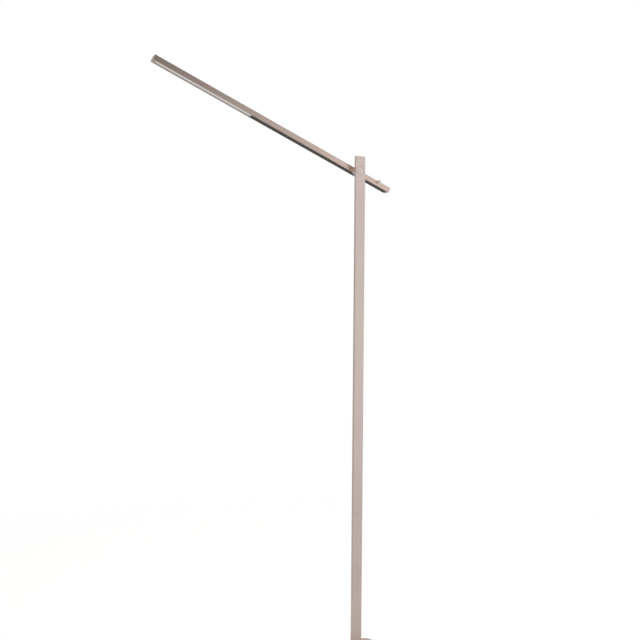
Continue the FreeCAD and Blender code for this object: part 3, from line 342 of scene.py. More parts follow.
# ---------------------------------------------------------------- materials

# the turn that brings a piece's length upright, and the stretch of a die's lines along it
ALONG_POST = (0.0, 0.0, 0.0)
ALONG_ARM = (0.0, math.radians(-ARM_TILT - 90.0), 0.0)
DIE_STRETCH = 0.004


def linear(code):
    """An sRGB hex colour as linear light."""
    levels = []
    for start in (1, 3, 5):
        level = int(code[start:start + 2], 16) / 255
        levels.append(level / 12.92 if level <= 0.04045 else ((level + 0.055) / 1.055) ** 2.4)
    return (*levels, 1.0)


def add(tree, kind, settings, inputs):
    """Add a node, set it up, and give each input a value or another node's output."""
    node = tree.nodes.new(kind)
    for name, setting in settings.items():
        setattr(node, name, setting)
    for name, given in inputs.items():
        if isinstance(given, bpy.types.NodeSocket):
            tree.links.new(given, node.inputs[name])
        else:
            node.inputs[name].default_value = given
    return node


def new_material(name, **values):
    """A new material with its main shader, and the values that are the same all over it."""
    material = bpy.data.materials.new(name)
    material.use_nodes = True
    tree = material.node_tree
    shader = tree.nodes["Principled BSDF"]
    for socket, given in values.items():
        shader.inputs[socket].default_value = given
    return material, tree, shader


def per_mm(size):
    """Noise scale for features about this many millimetres wide."""
    return 1000.0 / size


def two_tones(tree, factor, dark, light):
    """A colour between two tones, by a factor from 0 to 1."""
    ramp = add(tree, "ShaderNodeValToRGB", {}, {"Fac": factor})
    ramp.color_ramp.elements[0].position = 0.35
    ramp.color_ramp.elements[0].color = linear(dark)
    ramp.color_ramp.elements[1].position = 0.65
    ramp.color_ramp.elements[1].color = linear(light)
    return ramp.outputs["Color"]


def anodised_aluminium(name, dark, light, along, roughness):
    """Extruded aluminium, etched and anodised: a satin metal with soft, wide reflections, faint
    lines left by the die along its length, and a slow drift of tone from the bath."""
    material, tree, shader = new_material(name, Metallic=1.0)
    place = add(tree, "ShaderNodeTexCoord", {}, {})
    level = add(tree, "ShaderNodeMapping", {}, {"Vector": place.outputs["Object"], "Rotation": along})
    # die lines are about 0.3 mm wide: drawn as 1.5 mm, so that they show at all
    stretch = add(tree, "ShaderNodeMapping", {},
                  {"Vector": level.outputs["Vector"], "Scale": (1.0, 1.0, DIE_STRETCH)})
    lines = add(tree, "ShaderNodeTexNoise", {},
                {"Vector": stretch.outputs["Vector"], "Scale": per_mm(1.5), "Detail": 2.0, "Roughness": 0.6})
    # the etch's grain is about 0.05 mm: drawn as 0.8 mm
    grain = add(tree, "ShaderNodeTexNoise", {},
                {"Vector": place.outputs["Object"], "Scale": per_mm(0.8), "Detail": 3.0})
    drift = add(tree, "ShaderNodeTexNoise", {},
                {"Vector": place.outputs["Object"], "Scale": per_mm(180.0), "Detail": 1.0})
    tree.links.new(two_tones(tree, drift.outputs["Fac"], dark, light), shader.inputs["Base Color"])
    spread = add(tree, "ShaderNodeMapRange", {},
                 {"Value": grain.outputs["Fac"], "From Min": 0.3, "From Max": 0.7,
                  "To Min": roughness - 0.03, "To Max": roughness + 0.03})
    tree.links.new(spread.outputs["Result"], shader.inputs["Roughness"])
    relief = add(tree, "ShaderNodeMix", {},
                 {"Factor": 0.4, "A": lines.outputs["Fac"], "B": grain.outputs["Fac"]})
    bump = add(tree, "ShaderNodeBump", {},
               {"Height": relief.outputs["Result"], "Strength": 0.1, "Distance": 0.005 * MM})
    tree.links.new(bump.outputs["Normal"], shader.inputs["Normal"])
    return material


def turned_aluminium(name, dark, light, roughness):
    """Aluminium turned on a lathe and anodised: the same satin tone, with fine rings about the pivot."""
    material, tree, shader = new_material(name, Metallic=1.0)
    place = add(tree, "ShaderNodeTexCoord", {}, {})
    centred = add(tree, "ShaderNodeMapping", {},
                  {"Vector": place.outputs["Object"], "Location": (0.0, 0.0, -PIVOT_HEIGHT * MM)})
    # tool marks are about 0.15 mm apart: drawn 1 mm apart
    rings = add(tree, "ShaderNodeTexWave", {"wave_type": "RINGS", "rings_direction": "Y"},
                {"Vector": centred.outputs["Vector"], "Scale": per_mm(20.0),
                 "Distortion": 0.3, "Detail": 1.0})
    grain = add(tree, "ShaderNodeTexNoise", {},
                {"Vector": place.outputs["Object"], "Scale": per_mm(0.8), "Detail": 3.0})
    tree.links.new(two_tones(tree, grain.outputs["Fac"], dark, light), shader.inputs["Base Color"])
    spread = add(tree, "ShaderNodeMapRange", {},
                 {"Value": rings.outputs["Fac"], "To Min": roughness - 0.04, "To Max": roughness + 0.04})
    tree.links.new(spread.outputs["Result"], shader.inputs["Roughness"])
    bump = add(tree, "ShaderNodeBump", {},
               {"Height": rings.outputs["Fac"], "Strength": 0.1, "Distance": 0.03 * MM})
    tree.links.new(bump.outputs["Normal"], shader.inputs["Normal"])
    return material


def powder_coated_steel(name, dark, light):
    """Steel with a fine baked powder coat: matt, with a slight orange peel that breaks up highlights."""
    material, tree, shader = new_material(name, Metallic=0.0, IOR=1.5)
    place = add(tree, "ShaderNodeTexCoord", {}, {})
    # the peel is about 1 mm across: drawn as 2 mm
    peel = add(tree, "ShaderNodeTexNoise", {},
               {"Vector": place.outputs["Object"], "Scale": per_mm(2.0), "Detail": 2.0})
    fleck = add(tree, "ShaderNodeTexNoise", {},
                {"Vector": place.outputs["Object"], "Scale": per_mm(0.7), "Detail": 1.0})
    tree.links.new(two_tones(tree, fleck.outputs["Fac"], dark, light), shader.inputs["Base Color"])
    spread = add(tree, "ShaderNodeMapRange", {},
                 {"Value": peel.outputs["Fac"], "To Min": 0.46, "To Max": 0.6})
    tree.links.new(spread.outputs["Result"], shader.inputs["Roughness"])
    bump = add(tree, "ShaderNodeBump", {},
               {"Height": peel.outputs["Fac"], "Strength": 0.35, "Distance": 0.12 * MM})
    tree.links.new(bump.outputs["Normal"], shader.inputs["Normal"])
    return material


def moulded(name, dark, light, roughness, grain_size, depth, ior=1.5):
    """A moulded plastic or rubber: one even colour, with the fine spark texture of its mould."""
    material, tree, shader = new_material(name, Metallic=0.0, IOR=ior)
    place = add(tree, "ShaderNodeTexCoord", {}, {})
    grain = add(tree, "ShaderNodeTexNoise", {},
                {"Vector": place.outputs["Object"], "Scale": per_mm(grain_size), "Detail": 3.0})
    cloud = add(tree, "ShaderNodeTexNoise", {},
                {"Vector": place.outputs["Object"], "Scale": per_mm(25.0)})
    tree.links.new(two_tones(tree, cloud.outputs["Fac"], dark, light), shader.inputs["Base Color"])
    spread = add(tree, "ShaderNodeMapRange", {},
                 {"Value": grain.outputs["Fac"], "To Min": roughness - 0.06, "To Max": roughness + 0.06})
    tree.links.new(spread.outputs["Result"], shader.inputs["Roughness"])
    bump = add(tree, "ShaderNodeBump", {},
               {"Height": grain.outputs["Fac"], "Strength": 0.25, "Distance": depth * MM})
    tree.links.new(bump.outputs["Normal"], shader.inputs["Normal"])
    return material


def extruded_strip(name, dark, light):
    """Black satin plastic, extruded: lengthwise lines from the die and a soft sheen."""
    material, tree, shader = new_material(name, Metallic=0.0, IOR=1.5)
    place = add(tree, "ShaderNodeTexCoord", {}, {})
    level = add(tree, "ShaderNodeMapping", {},
                {"Vector": place.outputs["Object"], "Rotation": (0.0, math.radians(-ARM_TILT), 0.0)})
    # die lines are about 0.4 mm wide: drawn as 1.5 mm
    stretch = add(tree, "ShaderNodeMapping", {},
                  {"Vector": level.outputs["Vector"], "Scale": (DIE_STRETCH, 1.0, 1.0)})
    lines = add(tree, "ShaderNodeTexNoise", {},
                {"Vector": stretch.outputs["Vector"], "Scale": per_mm(1.5), "Detail": 2.0})
    tree.links.new(two_tones(tree, lines.outputs["Fac"], dark, light), shader.inputs["Base Color"])
    spread = add(tree, "ShaderNodeMapRange", {},
                 {"Value": lines.outputs["Fac"], "To Min": 0.44, "To Max": 0.56})
    tree.links.new(spread.outputs["Result"], shader.inputs["Roughness"])
    bump = add(tree, "ShaderNodeBump", {},
               {"Height": lines.outputs["Fac"], "Strength": 0.2, "Distance": 0.06 * MM})
    tree.links.new(bump.outputs["Normal"], shader.inputs["Normal"])
    return material


def opal_sheet(name, dark, light):
    """Opal acrylic, extruded: milky and even, so that no light source shows through, with a satin face."""
    material, tree, shader = new_material(name, Metallic=0.0, IOR=1.49)
    place = add(tree, "ShaderNodeTexCoord", {}, {})
    haze = add(tree, "ShaderNodeTexNoise", {},
               {"Vector": place.outputs["Object"], "Scale": per_mm(40.0), "Detail": 2.0})
    # the frosting is about 0.1 mm: drawn as 1 mm
    frost = add(tree, "ShaderNodeTexNoise", {},
                {"Vector": place.outputs["Object"], "Scale": per_mm(1.0), "Detail": 2.0})
    tree.links.new(two_tones(tree, haze.outputs["Fac"], dark, light), shader.inputs["Base Color"])
    spread = add(tree, "ShaderNodeMapRange", {},
                 {"Value": frost.outputs["Fac"], "To Min": 0.32, "To Max": 0.44})
    tree.links.new(spread.outputs["Result"], shader.inputs["Roughness"])
    bump = add(tree, "ShaderNodeBump", {},
               {"Height": frost.outputs["Fac"], "Strength": 0.1, "Distance": 0.03 * MM})
    tree.links.new(bump.outputs["Normal"], shader.inputs["Normal"])
    return material


def drawn_steel(name, dark, light, roughness):
    """Plated or blackened steel: a metal with a fine, uneven plating."""
    material, tree, shader = new_material(name, Metallic=1.0)
    place = add(tree, "ShaderNodeTexCoord", {}, {})
    plating = add(tree, "ShaderNodeTexNoise", {},
                  {"Vector": place.outputs["Object"], "Scale": per_mm(3.0), "Detail": 4.0})
    tree.links.new(two_tones(tree, plating.outputs["Fac"], dark, light), shader.inputs["Base Color"])
    spread = add(tree, "ShaderNodeMapRange", {},
                 {"Value": plating.outputs["Fac"], "To Min": roughness - 0.08, "To Max": roughness + 0.08})
    tree.links.new(spread.outputs["Result"], shader.inputs["Roughness"])
    return material


# warm champagne satin: lightest on the post, a shade deeper on the arm, darkest on the lever, whose darker
# colour is painted shade for the lever sunk in its recess
post_aluminium = anodised_aluminium("champagne anodised aluminium, post",
                                    "#cfc0b8", "#d3c5bd", ALONG_POST, 0.42)
arm_aluminium = anodised_aluminium("champagne anodised aluminium, arm",
                                   "#c4b1a6", "#c9b6ac", ALONG_ARM, 0.34)
lever_aluminium_painted_shade = anodised_aluminium("champagne anodised aluminium, lever",
                                     "#a3928a", "#a9988f", ALONG_ARM, 0.4)
hub_aluminium = turned_aluminium("champagne anodised aluminium, turned", "#c8b6ac", "#ccbab0", 0.34)

# the same warm tone in paint, duller than the metal
base_coat = powder_coated_steel("champagne powder coat", "#b5a296", "#baa89c")

# rubber and plastics: dull near black on the pad, a low sheen on the bush, the strip and the leads
pad_rubber = moulded("nitrile rubber pad", "#232322", "#2b2b29", 0.82, 1.2, 0.15, 1.52)
black_nylon = moulded("black nylon", "#1d1d1c", "#232322", 0.5, 0.9, 0.08, 1.53)
black_strip = extruded_strip("black extruded cover strip", "#241c15", "#2a221a")
cable_vinyl = moulded("cable jacket vinyl", "#2a2a29", "#303030", 0.55, 1.0, 0.05)
opal = opal_sheet("opal acrylic", "#f1f1f1", "#f6f6f6")

# fixings: zinc is pale and cool, black oxide is dark with a faint metal gleam
zinc_steel = drawn_steel("zinc plated steel", "#9fa2a3", "#b4b6b6", 0.35)
black_steel = drawn_steel("black oxide steel", "#252423", "#33312f", 0.42)

# boards inside: smooth lacquer over glass fibre, and yellow phosphor on the light sources
white_board = moulded("white solder mask", "#dcdcd8", "#e3e3df", 0.4, 1.5, 0.02)
green_board = moulded("green solder mask", "#1f5a3a", "#256444", 0.35, 1.5, 0.02)
led_phosphor = moulded("light source phosphor", "#d9c95e", "#e2d36c", 0.45, 1.0, 0.02)

FINISHES = {
    "post_finish": post_aluminium,
    "arm_finish": arm_aluminium,
    "hub_finish": hub_aluminium,
    "base_paint": base_coat,
    "plain_steel": zinc_steel,
    "black_screw": black_steel,
    "pad_rubber": pad_rubber,
    "black_plastic": black_nylon,
    "black_strip": black_strip,
    "opal": opal,
    "cable_jacket": cable_vinyl,
    "board_white": white_board,
    "board_green": green_board,
    "led_package": led_phosphor,
}

SLOT_OF = {entry["node"]: entry["material_slot"] for entry in frame["record"]["subparts"]}


def dress_cad_nodes():
    """Give every carried-over node the finish of its slot."""
    for name, node in frame["nodes"].items():
        node.data.materials.clear()
        node.data.materials.append(FINISHES[SLOT_OF[name]])


dress_cad_nodes()


# ---------------------------------------------------------------- base

def make_base_plate():
    """Steel slab with round corners and a softened top rim, bored for the cable inlet."""
    plate = block("base_plate_coated", (PLATE_LEFT, -PLATE_BACK, PAD_TOP),
                  (PLATE_RIGHT, PLATE_BACK, PLATE_TOP))
    break_edges(plate, lambda edge: runs_along(edge, Z), PLATE_CORNER, segments=16)
    break_edges(plate, lambda edge: at(edge.verts, Z, PLATE_TOP), PLATE_TOP_EDGE, segments=5)
    break_edges(plate, lambda edge: at(edge.verts, Z, PAD_TOP), PLATE_LOW_EDGE, segments=2)
    bore = rod("inlet_bore", PLATE_BACK - INLET_DEPTH, PLATE_BACK + PAST, INLET, INLET_BORE, sides=48)
    combine(plate, bore, "DIFFERENCE")
    finish_piece(plate, "stand", "base_plate")


def make_base_pad():
    """Rubber sheet, with shallow ribs along its underside."""
    pad = block("base_pad_ribbed", (PLATE_LEFT + PAD_MARGIN, PAD_MARGIN - PLATE_BACK, 0.0),
                (PLATE_RIGHT - PAD_MARGIN, PLATE_BACK - PAD_MARGIN, PAD_TOP))
    break_edges(pad, lambda edge: runs_along(edge, Z), PLATE_CORNER - PAD_MARGIN, segments=14)
    open_mesh(pad)
    pick(pad, "FACE", lambda face: face.normal.z < -SQUARE)
    bpy.ops.mesh.inset(thickness=PAD_RIM * MM)
    bpy.ops.mesh.extrude_region_move(TRANSFORM_OT_translate={"value": (0.0, 0.0, PAD_SUNK * MM)})
    close_mesh()
    for number in range(RIB_COUNT):
        left = RIB_LEFT + number * RIB_PITCH
        rib = block("rib", (left, -RIB_END, 0.0), (left + RIB_WIDTH, RIB_END, RIB_TOP))
        break_corners(rib, RIB_EDGE)
        combine(pad, rib, "UNION")
    finish_piece(pad, "stand", "base_pad")


def make_inlet_bush():
    """Bush with a round flange, open for a cable."""
    rim = PLATE_BACK + BUSH_RIM
    bush = rod("inlet_bush", PLATE_BACK - BUSH_DEPTH, PLATE_BACK, INLET, BUSH_DIAMETER, sides=48)
    flange = rod("flange", PLATE_BACK, rim, INLET, BUSH_RIM_DIAMETER, sides=48)
    break_edges(flange, lambda edge: at(edge.verts, Y, rim), BUSH_RIM_EDGE, segments=4)
    combine(bush, flange, "UNION")
    bore = rod("bore", PLATE_BACK - BUSH_DEPTH - PAST, rim + PAST, INLET, BUSH_BORE, sides=48)
    combine(bush, bore, "DIFFERENCE")
    break_edges(bush, lambda edge: on_ring(edge, rim, INLET, BUSH_BORE), BUSH_BORE_EDGE, segments=3)
    finish_piece(bush, "stand", "cable_gland")


# ---------------------------------------------------------------- post

def on_post_corner(edge):
    """True for one of the four outer edges along the post."""
    beside = at(edge.verts, X, -POST_HALF) or at(edge.verts, X, POST_HALF)
    return runs_along(edge, Z) and beside and (at(edge.verts, Y, POST_FRONT) or at(edge.verts, Y, POST_BACK))


def make_post():
    """Rectangular tube with soft edges, with the pivot disc's seat in its front."""
    post = block("post_tube", (-POST_HALF, POST_FRONT, PLATE_TOP), (POST_HALF, POST_BACK, POST_TOP))
    open_mesh(post)
    pick(post, "FACE", lambda face: abs(face.normal.z) > SQUARE)
    bpy.ops.mesh.inset(thickness=POST_WALL * MM)
    bpy.ops.mesh.bridge_edge_loops()
    close_mesh()
    break_edges(post, on_post_corner, POST_EDGE, segments=5)
    disc_seat = rod("disc_seat", POST_FRONT - PAST, POST_FRONT + POST_WALL + PAST, PIVOT, DISC_HOLE,
                    sides=128)
    combine(post, disc_seat, "DIFFERENCE")
    break_edges(post, lambda edge: on_ring(edge, POST_FRONT, PIVOT, DISC_HOLE), DISC_SEAM_EDGE, segments=4)
    sleeve_seat = rod("sleeve_seat", POST_BACK - POST_WALL - PAST, POST_BACK + PAST, PIVOT, BARREL_HOLE)
    combine(post, sleeve_seat, "DIFFERENCE")
    finish_piece(post, "stand", "post")


def make_post_cap():
    """Flat cap with a fine seam under it and a plug in the tube."""
    cap = block("post_cap_flat", (-POST_HALF, POST_FRONT, POST_TOP), (POST_HALF, POST_BACK, CAP_TOP))
    break_edges(cap, lambda edge: runs_along(edge, Z), POST_EDGE, segments=5)
    break_edges(cap, lambda edge: at(edge.verts, Z, CAP_TOP), CAP_TOP_EDGE, segments=3)
    break_edges(cap, lambda edge: at(edge.verts, Z, POST_TOP), CAP_SEAM_EDGE, segments=2)
    inset = POST_WALL + CAP_PLUG_GAP
    plug = block("plug", (inset - POST_HALF, POST_FRONT + inset, POST_TOP - CAP_PLUG_DEPTH),
                 (POST_HALF - inset, POST_BACK - inset, POST_TOP + LAP))
    break_corners(plug, CAP_PLUG_EDGE)
    combine(cap, plug, "UNION")
    finish_piece(cap, "stand", "post_cap")


def make_post_screws():
    """Two button-head screws with hexagon sockets, in the post's back."""
    top = POST_BACK + SCREW_HEAD
    for name, height in (("low", SCREW_LOW), ("high", SCREW_HIGH)):
        place = (SCREW_SIDE, height)
        screw = rod(f"post_screw_{name}", POST_BACK, top, place, SCREW_HEAD_DIAMETER, sides=64)
        break_edges(screw, lambda edge: at(edge.verts, Y, top), SCREW_HEAD_EDGE, segments=6)
        combine(screw, rod("shank", SCREW_END, POST_BACK + LAP, place, SCREW_DIAMETER, sides=48), "UNION")
        socket = rod("socket", POST_BACK + SOCKET_FLOOR, top + PAST, place, SOCKET_DIAMETER, sides=6)
        combine(screw, socket, "DIFFERENCE")
        finish_piece(screw, "stand", "post_screws")


# ---------------------------------------------------------------- hub

def make_pivot_disc():
    """Flat disc that closes the post's front, level with it, inside a fine round seam."""
    disc = rod("pivot_disc", POST_FRONT, DISC_BACK, PIVOT, DISC_HOLE - DISC_GAP, sides=128)
    break_edges(disc, lambda edge: at(edge.verts, Y, POST_FRONT), DISC_SEAM_EDGE, segments=4)
    combine(disc, rod("skirt", DISC_BACK - LAP, SKIRT_BACK, PIVOT, SKIRT_DIAMETER, sides=64), "UNION")
    combine(disc, rod("skirt_bore", DISC_BACK, SKIRT_BACK + PAST, PIVOT, SKIRT_BORE, sides=64), "DIFFERENCE")
    finish_piece(disc, "stand", "pivot_cap")


def make_hub_sleeve():
    """Fixed flange on the post's back, with a bored barrel in the post."""
    sleeve = rod("hub_flange", POST_BACK, SLEEVE_BACK, PIVOT, HUB_DIAMETER, sides=128)
    break_edges(sleeve, lambda edge: at(edge.verts, Y, POST_BACK) or at(edge.verts, Y, SLEEVE_BACK),
                SLEEVE_EDGE, segments=3)
    combine(sleeve, rod("barrel", DISC_BACK, POST_BACK + LAP, PIVOT, BARREL_DIAMETER), "UNION")
    combine(sleeve, rod("seat", DISC_BACK - PAST, JOURNAL_FRONT, PIVOT, SEAT_BORE), "DIFFERENCE")
    journal = rod("journal", JOURNAL_FRONT - PAST, SLEEVE_BACK + PAST, PIVOT, JOURNAL_BORE)
    combine(sleeve, journal, "DIFFERENCE")
    finish_piece(sleeve, "stand", "hub_sleeve")


def make_hub_boss():
    """Turning boss that carries the arm, bored for the axle and its head."""
    boss = rod("hub_boss_turned", BOSS_FRONT, ARM_NEAR, PIVOT, HUB_DIAMETER, sides=128)
    break_edges(boss, lambda edge: at(edge.verts, Y, BOSS_FRONT) or at(edge.verts, Y, ARM_NEAR),
                BOSS_EDGE, segments=4)
    combine(boss, rod("axle_bore", BOSS_FRONT - PAST, ARM_NEAR + PAST, PIVOT, JOURNAL_BORE), "DIFFERENCE")
    head_seat = rod("head_seat", ARM_NEAR - HEAD_SEAT, ARM_NEAR + PAST, PIVOT, HEAD_SEAT_BORE)
    combine(boss, head_seat, "DIFFERENCE")
    finish_piece(boss, "arm", "hub_boss")


# ---------------------------------------------------------------- arm

def make_arm():
    """Inverted channel with thin walls, and the recess that the lever swings in."""
    arm = block("arm_channel", (END_PLATE - TIP_REACH, ARM_NEAR, -ARM_HALF),
                (TAIL_REACH - END_PLATE, ARM_FAR, ARM_HALF))
    open_mesh(arm)
    pick(arm, "FACE", lambda face: face.normal.z < -SQUARE or abs(face.normal.x) > SQUARE)
    bpy.ops.mesh.delete(type="FACE")
    close_mesh()
    walls = arm.modifiers.new("walls", "SOLIDIFY")
    walls.thickness = ARM_WALL * MM
    walls.offset = -1.0
    walls.use_even_offset = True
    bpy.ops.object.modifier_apply(modifier=walls.name)
    break_edges(arm, lambda edge: runs_along(edge, X) and at(edge.verts, Z, ARM_HALF),
                ARM_TOP_EDGE, segments=4)
    break_edges(arm, lambda edge: runs_along(edge, X) and at(edge.verts, Z, -ARM_HALF),
                ARM_LOW_EDGE, segments=2)
    cut_lever_recess(arm)
    hang_on_arm(arm)
    finish_piece(arm, "arm", "arm_profile")


def cut_lever_recess(arm):
    """Sink a recess in the arm's near wall, round below and fanning out to its top, and drill it."""
    spot = (LEVER_PLACE, LEVER_RISE)
    floor = ARM_NEAR + RECESS_DEPTH
    combine(arm, rod("recess_round", ARM_NEAR - PAST, floor, spot, 2 * RECESS_HALF, sides=64), "DIFFERENCE")
    swing = block("recess_swing", (LEVER_PLACE - RECESS_HALF, ARM_NEAR - PAST, LEVER_RISE),
                  (LEVER_PLACE + RECESS_HALF, floor, ARM_HALF + RECESS_RISE))
    open_mesh(swing)
    pick(swing, "VERT", lambda point: point.co.z > ARM_HALF * MM)
    bpy.ops.transform.resize(value=(RECESS_SPREAD, 1.0, 1.0), center_override=(LEVER_PLACE * MM, 0.0, 0.0))
    close_mesh()
    combine(arm, swing, "DIFFERENCE")
    hole = rod("spindle_hole", ARM_NEAR - PAST, ARM_NEAR + ARM_WALL + PAST, spot, SPINDLE_HOLE, sides=48)
    combine(arm, hole, "DIFFERENCE")


def on_end_rim(edge, outer, inner):
    """True for an edge round an end cap's outer face, and for the low edges of its sides."""
    beside = at(edge.verts, Y, ARM_NEAR) or at(edge.verts, Y, ARM_FAR)
    if at(edge.verts, Z, -ARM_HALF):
        return beside
    if at(edge.verts, Z, ARM_HALF):
        return at(edge.verts, X, outer)
    return beside and not at(edge.verts, X, inner)


def make_end_cap(name, node, outer, inner):
    """Solid end with a large rounding below and a small one round its face, and a block that
    closes the underside behind it."""
    behind = outer - math.copysign(END_PLATE, outer)
    cap = block(name, (min(outer, behind), ARM_NEAR, -ARM_HALF), (max(outer, behind), ARM_FAR, ARM_HALF))
    break_edges(cap, lambda edge: at(edge.verts, X, outer) and at(edge.verts, Z, -ARM_HALF),
                END_LOW_EDGE, segments=6)
    break_edges(cap, lambda edge: on_end_rim(edge, outer, behind), END_EDGE, segments=4)
    break_edges(cap, lambda edge: runs_along(edge, X) and at(edge.verts, Z, ARM_HALF),
                ARM_TOP_EDGE, segments=3)
    lap = behind + math.copysign(LAP, outer)
    inset = ARM_WALL + END_PLUG_GAP
    plug = block("plug", (min(lap, inner), ARM_NEAR + inset, -ARM_HALF),
                 (max(lap, inner), ARM_FAR - inset, ARM_HALF - END_PLUG_DROP))
    break_edges(plug, lambda edge: at(edge.verts, X, inner), END_PLUG_EDGE, segments=2)
    combine(cap, plug, "UNION")
    hang_on_arm(cap)
    finish_piece(cap, "arm", node)


def make_diffuser():
    """Opal sheet in the arm's grooves, with a slight crown."""
    middle = (ARM_NEAR + ARM_FAR) / 2
    sheet = block("diffuser_sheet", (END_DEPTH - TIP_REACH, middle - SHEET_HALF, SHEET_BOTTOM),
                  (-LIGHT_START - SHEET_GAP, middle + SHEET_HALF, SHEET_TOP))
    open_mesh(sheet)
    pick(sheet, "EDGE", lambda edge: runs_along(edge, Y))
    bpy.ops.mesh.subdivide(number_cuts=SHEET_ROWS - 1)
    close_mesh()
    for row in range(1, SHEET_ROWS):
        across = SHEET_HALF * (2 * row / SHEET_ROWS - 1)
        crown = SHEET_CROWN * (1 - (across / SHEET_HALF) ** 2)
        open_mesh(sheet)
        pick(sheet, "VERT", lambda point: at([point], Z, SHEET_BOTTOM) and at([point], Y, middle + across))
        bpy.ops.transform.translate(value=(0.0, 0.0, -crown * MM))
        close_mesh()
    hang_on_arm(sheet)
    finish_piece(sheet, "arm", "diffuser")


def make_cover_strip():
    """Black strip with turned-up legs, which clips into the arm's grooves."""
    strip = block("cover_strip_black", (-LIGHT_START, ARM_NEAR + STRIP_INSET, STRIP_BOTTOM),
                  (TAIL_REACH - END_DEPTH, ARM_FAR - STRIP_INSET, SHEET_TOP))
    open_mesh(strip)
    pick(strip, "FACE", lambda face: face.normal.z > SQUARE)
    bpy.ops.mesh.inset(thickness=STRIP_LEG * MM)
    bpy.ops.mesh.extrude_region_move(TRANSFORM_OT_translate={"value": (0.0, 0.0, -STRIP_SUNK * MM)})
    close_mesh()
    break_edges(strip, lambda edge: at(edge.verts, Z, STRIP_BOTTOM), STRIP_EDGE, segments=3)
    hang_on_arm(strip)
    finish_piece(strip, "arm", "cover_strip")


# ---------------------------------------------------------------- dimmer lever

def make_lever():
    """Thin disc with a tab that ends in a thicker thumb piece, on a short spindle."""
    centre = (0.0, 0.0)
    back = ARM_NEAR + LEVER_THICKNESS
    lever = rod("dimmer_lever_disc", ARM_NEAR, back, centre, LEVER_DIAMETER, sides=64)
    combine(lever, block("tab", (0.0, ARM_NEAR, -LEVER_HALF), (LEVER_REACH, back, LEVER_HALF)), "UNION")
    knob = block("knob", (KNOB_START, ARM_NEAR, -LEVER_HALF),
                 (LEVER_REACH, ARM_NEAR + KNOB_THICKNESS, LEVER_HALF))
    combine(lever, knob, "UNION")
    break_corners(lever, LEVER_EDGE, segments=3)
    spindle = rod("spindle", ARM_NEAR + SPINDLE_START, ARM_NEAR + SPINDLE_END, centre, SPINDLE_DIAMETER,
                  sides=48)
    combine(lever, spindle, "UNION")
    lever.rotation_euler = (0.0, math.radians(-LEVER_ANGLE), 0.0)
    lever.location = (LEVER_PLACE * MM, 0.0, LEVER_RISE * MM)
    settle(lever)
    hang_on_arm(lever)
    finish_piece(lever, "lever", "dimmer_lever")
    # the lever gets a darker finish than the arm: painted shade, standing in for the shadow of the recess it
    # sits in
    lever.data.materials[0] = lever_aluminium_painted_shade


make_base_plate()
make_base_pad()
make_inlet_bush()
make_post()
make_post_cap()
make_post_screws()
make_pivot_disc()
make_hub_sleeve()
make_hub_boss()
make_arm()
make_end_cap("tip_cap_rounded", "tip_cap", -TIP_REACH, END_DEPTH - TIP_REACH)
make_end_cap("tail_cap_rounded", "tail_cap", TAIL_REACH, TAIL_REACH - END_DEPTH)
make_diffuser()
make_cover_strip()
make_lever()


# ---------------------------------------------------------------- studio

WHITE = linear("#ffffff")


def make_floor():
    """Pale floor that keeps the lamp's shadow and fades into the white background. Places and
    sizes in the studio are metres."""
    bpy.ops.mesh.primitive_circle_add(vertices=96, radius=6.0, fill_type="NGON",
                                      location=(0.0, 0.0, -0.0005))
    floor = bpy.context.active_object
    floor.name = "studio_floor"
    settle(floor)
    material = bpy.data.materials.new("pale studio floor")
    material.use_nodes = True
    tree = material.node_tree
    tree.nodes.clear()
    place = add(tree, "ShaderNodeTexCoord", {}, {})
    reach = add(tree, "ShaderNodeVectorMath", {"operation": "LENGTH"}, {0: place.outputs["Object"]})
    fade = add(tree, "ShaderNodeMapRange", {"interpolation_type": "SMOOTHSTEP"},
               {"Value": reach.outputs["Value"], "From Min": 0.8, "From Max": 3.0})
    seen = add(tree, "ShaderNodeLightPath", {}, {})
    straight = add(tree, "ShaderNodeMath", {"operation": "MAXIMUM"},
                   {0: seen.outputs["Is Camera Ray"], 1: seen.outputs["Is Transmission Ray"]})
    # near the lamp: matt, and lifted a little towards white
    matt = add(tree, "ShaderNodeBsdfDiffuse", {}, {"Color": linear("#e4e3e1")})
    lift = add(tree, "ShaderNodeMath", {"operation": "MULTIPLY"}, {0: straight.outputs["Value"], 1: 0.3})
    glow = add(tree, "ShaderNodeEmission", {}, {"Color": WHITE, "Strength": lift.outputs["Value"]})
    near = add(tree, "ShaderNodeAddShader", {}, {0: matt.outputs["BSDF"], 1: glow.outputs["Emission"]})
    # far off: white as seen straight, and dimmer in the metal
    mirrored = add(tree, "ShaderNodeMath", {"operation": "MULTIPLY"},
                   {0: seen.outputs["Is Glossy Ray"], 1: 0.6})
    level = add(tree, "ShaderNodeMath", {"operation": "MAXIMUM"},
                {0: straight.outputs["Value"], 1: mirrored.outputs["Value"]})
    far = add(tree, "ShaderNodeEmission", {}, {"Color": WHITE, "Strength": level.outputs["Value"]})
    direct = add(tree, "ShaderNodeMath", {"operation": "MAXIMUM"},
                 {0: straight.outputs["Value"], 1: seen.outputs["Is Glossy Ray"]})
    share = add(tree, "ShaderNodeMath", {"operation": "MULTIPLY"},
                {0: fade.outputs["Result"], 1: direct.outputs["Value"]})
    mix = add(tree, "ShaderNodeMixShader", {},
              {0: share.outputs["Value"], 1: near.outputs["Shader"], 2: far.outputs["Emission"]})
    add(tree, "ShaderNodeOutputMaterial", {}, {"Surface": mix.outputs["Shader"]})
    floor.data.materials.append(material)


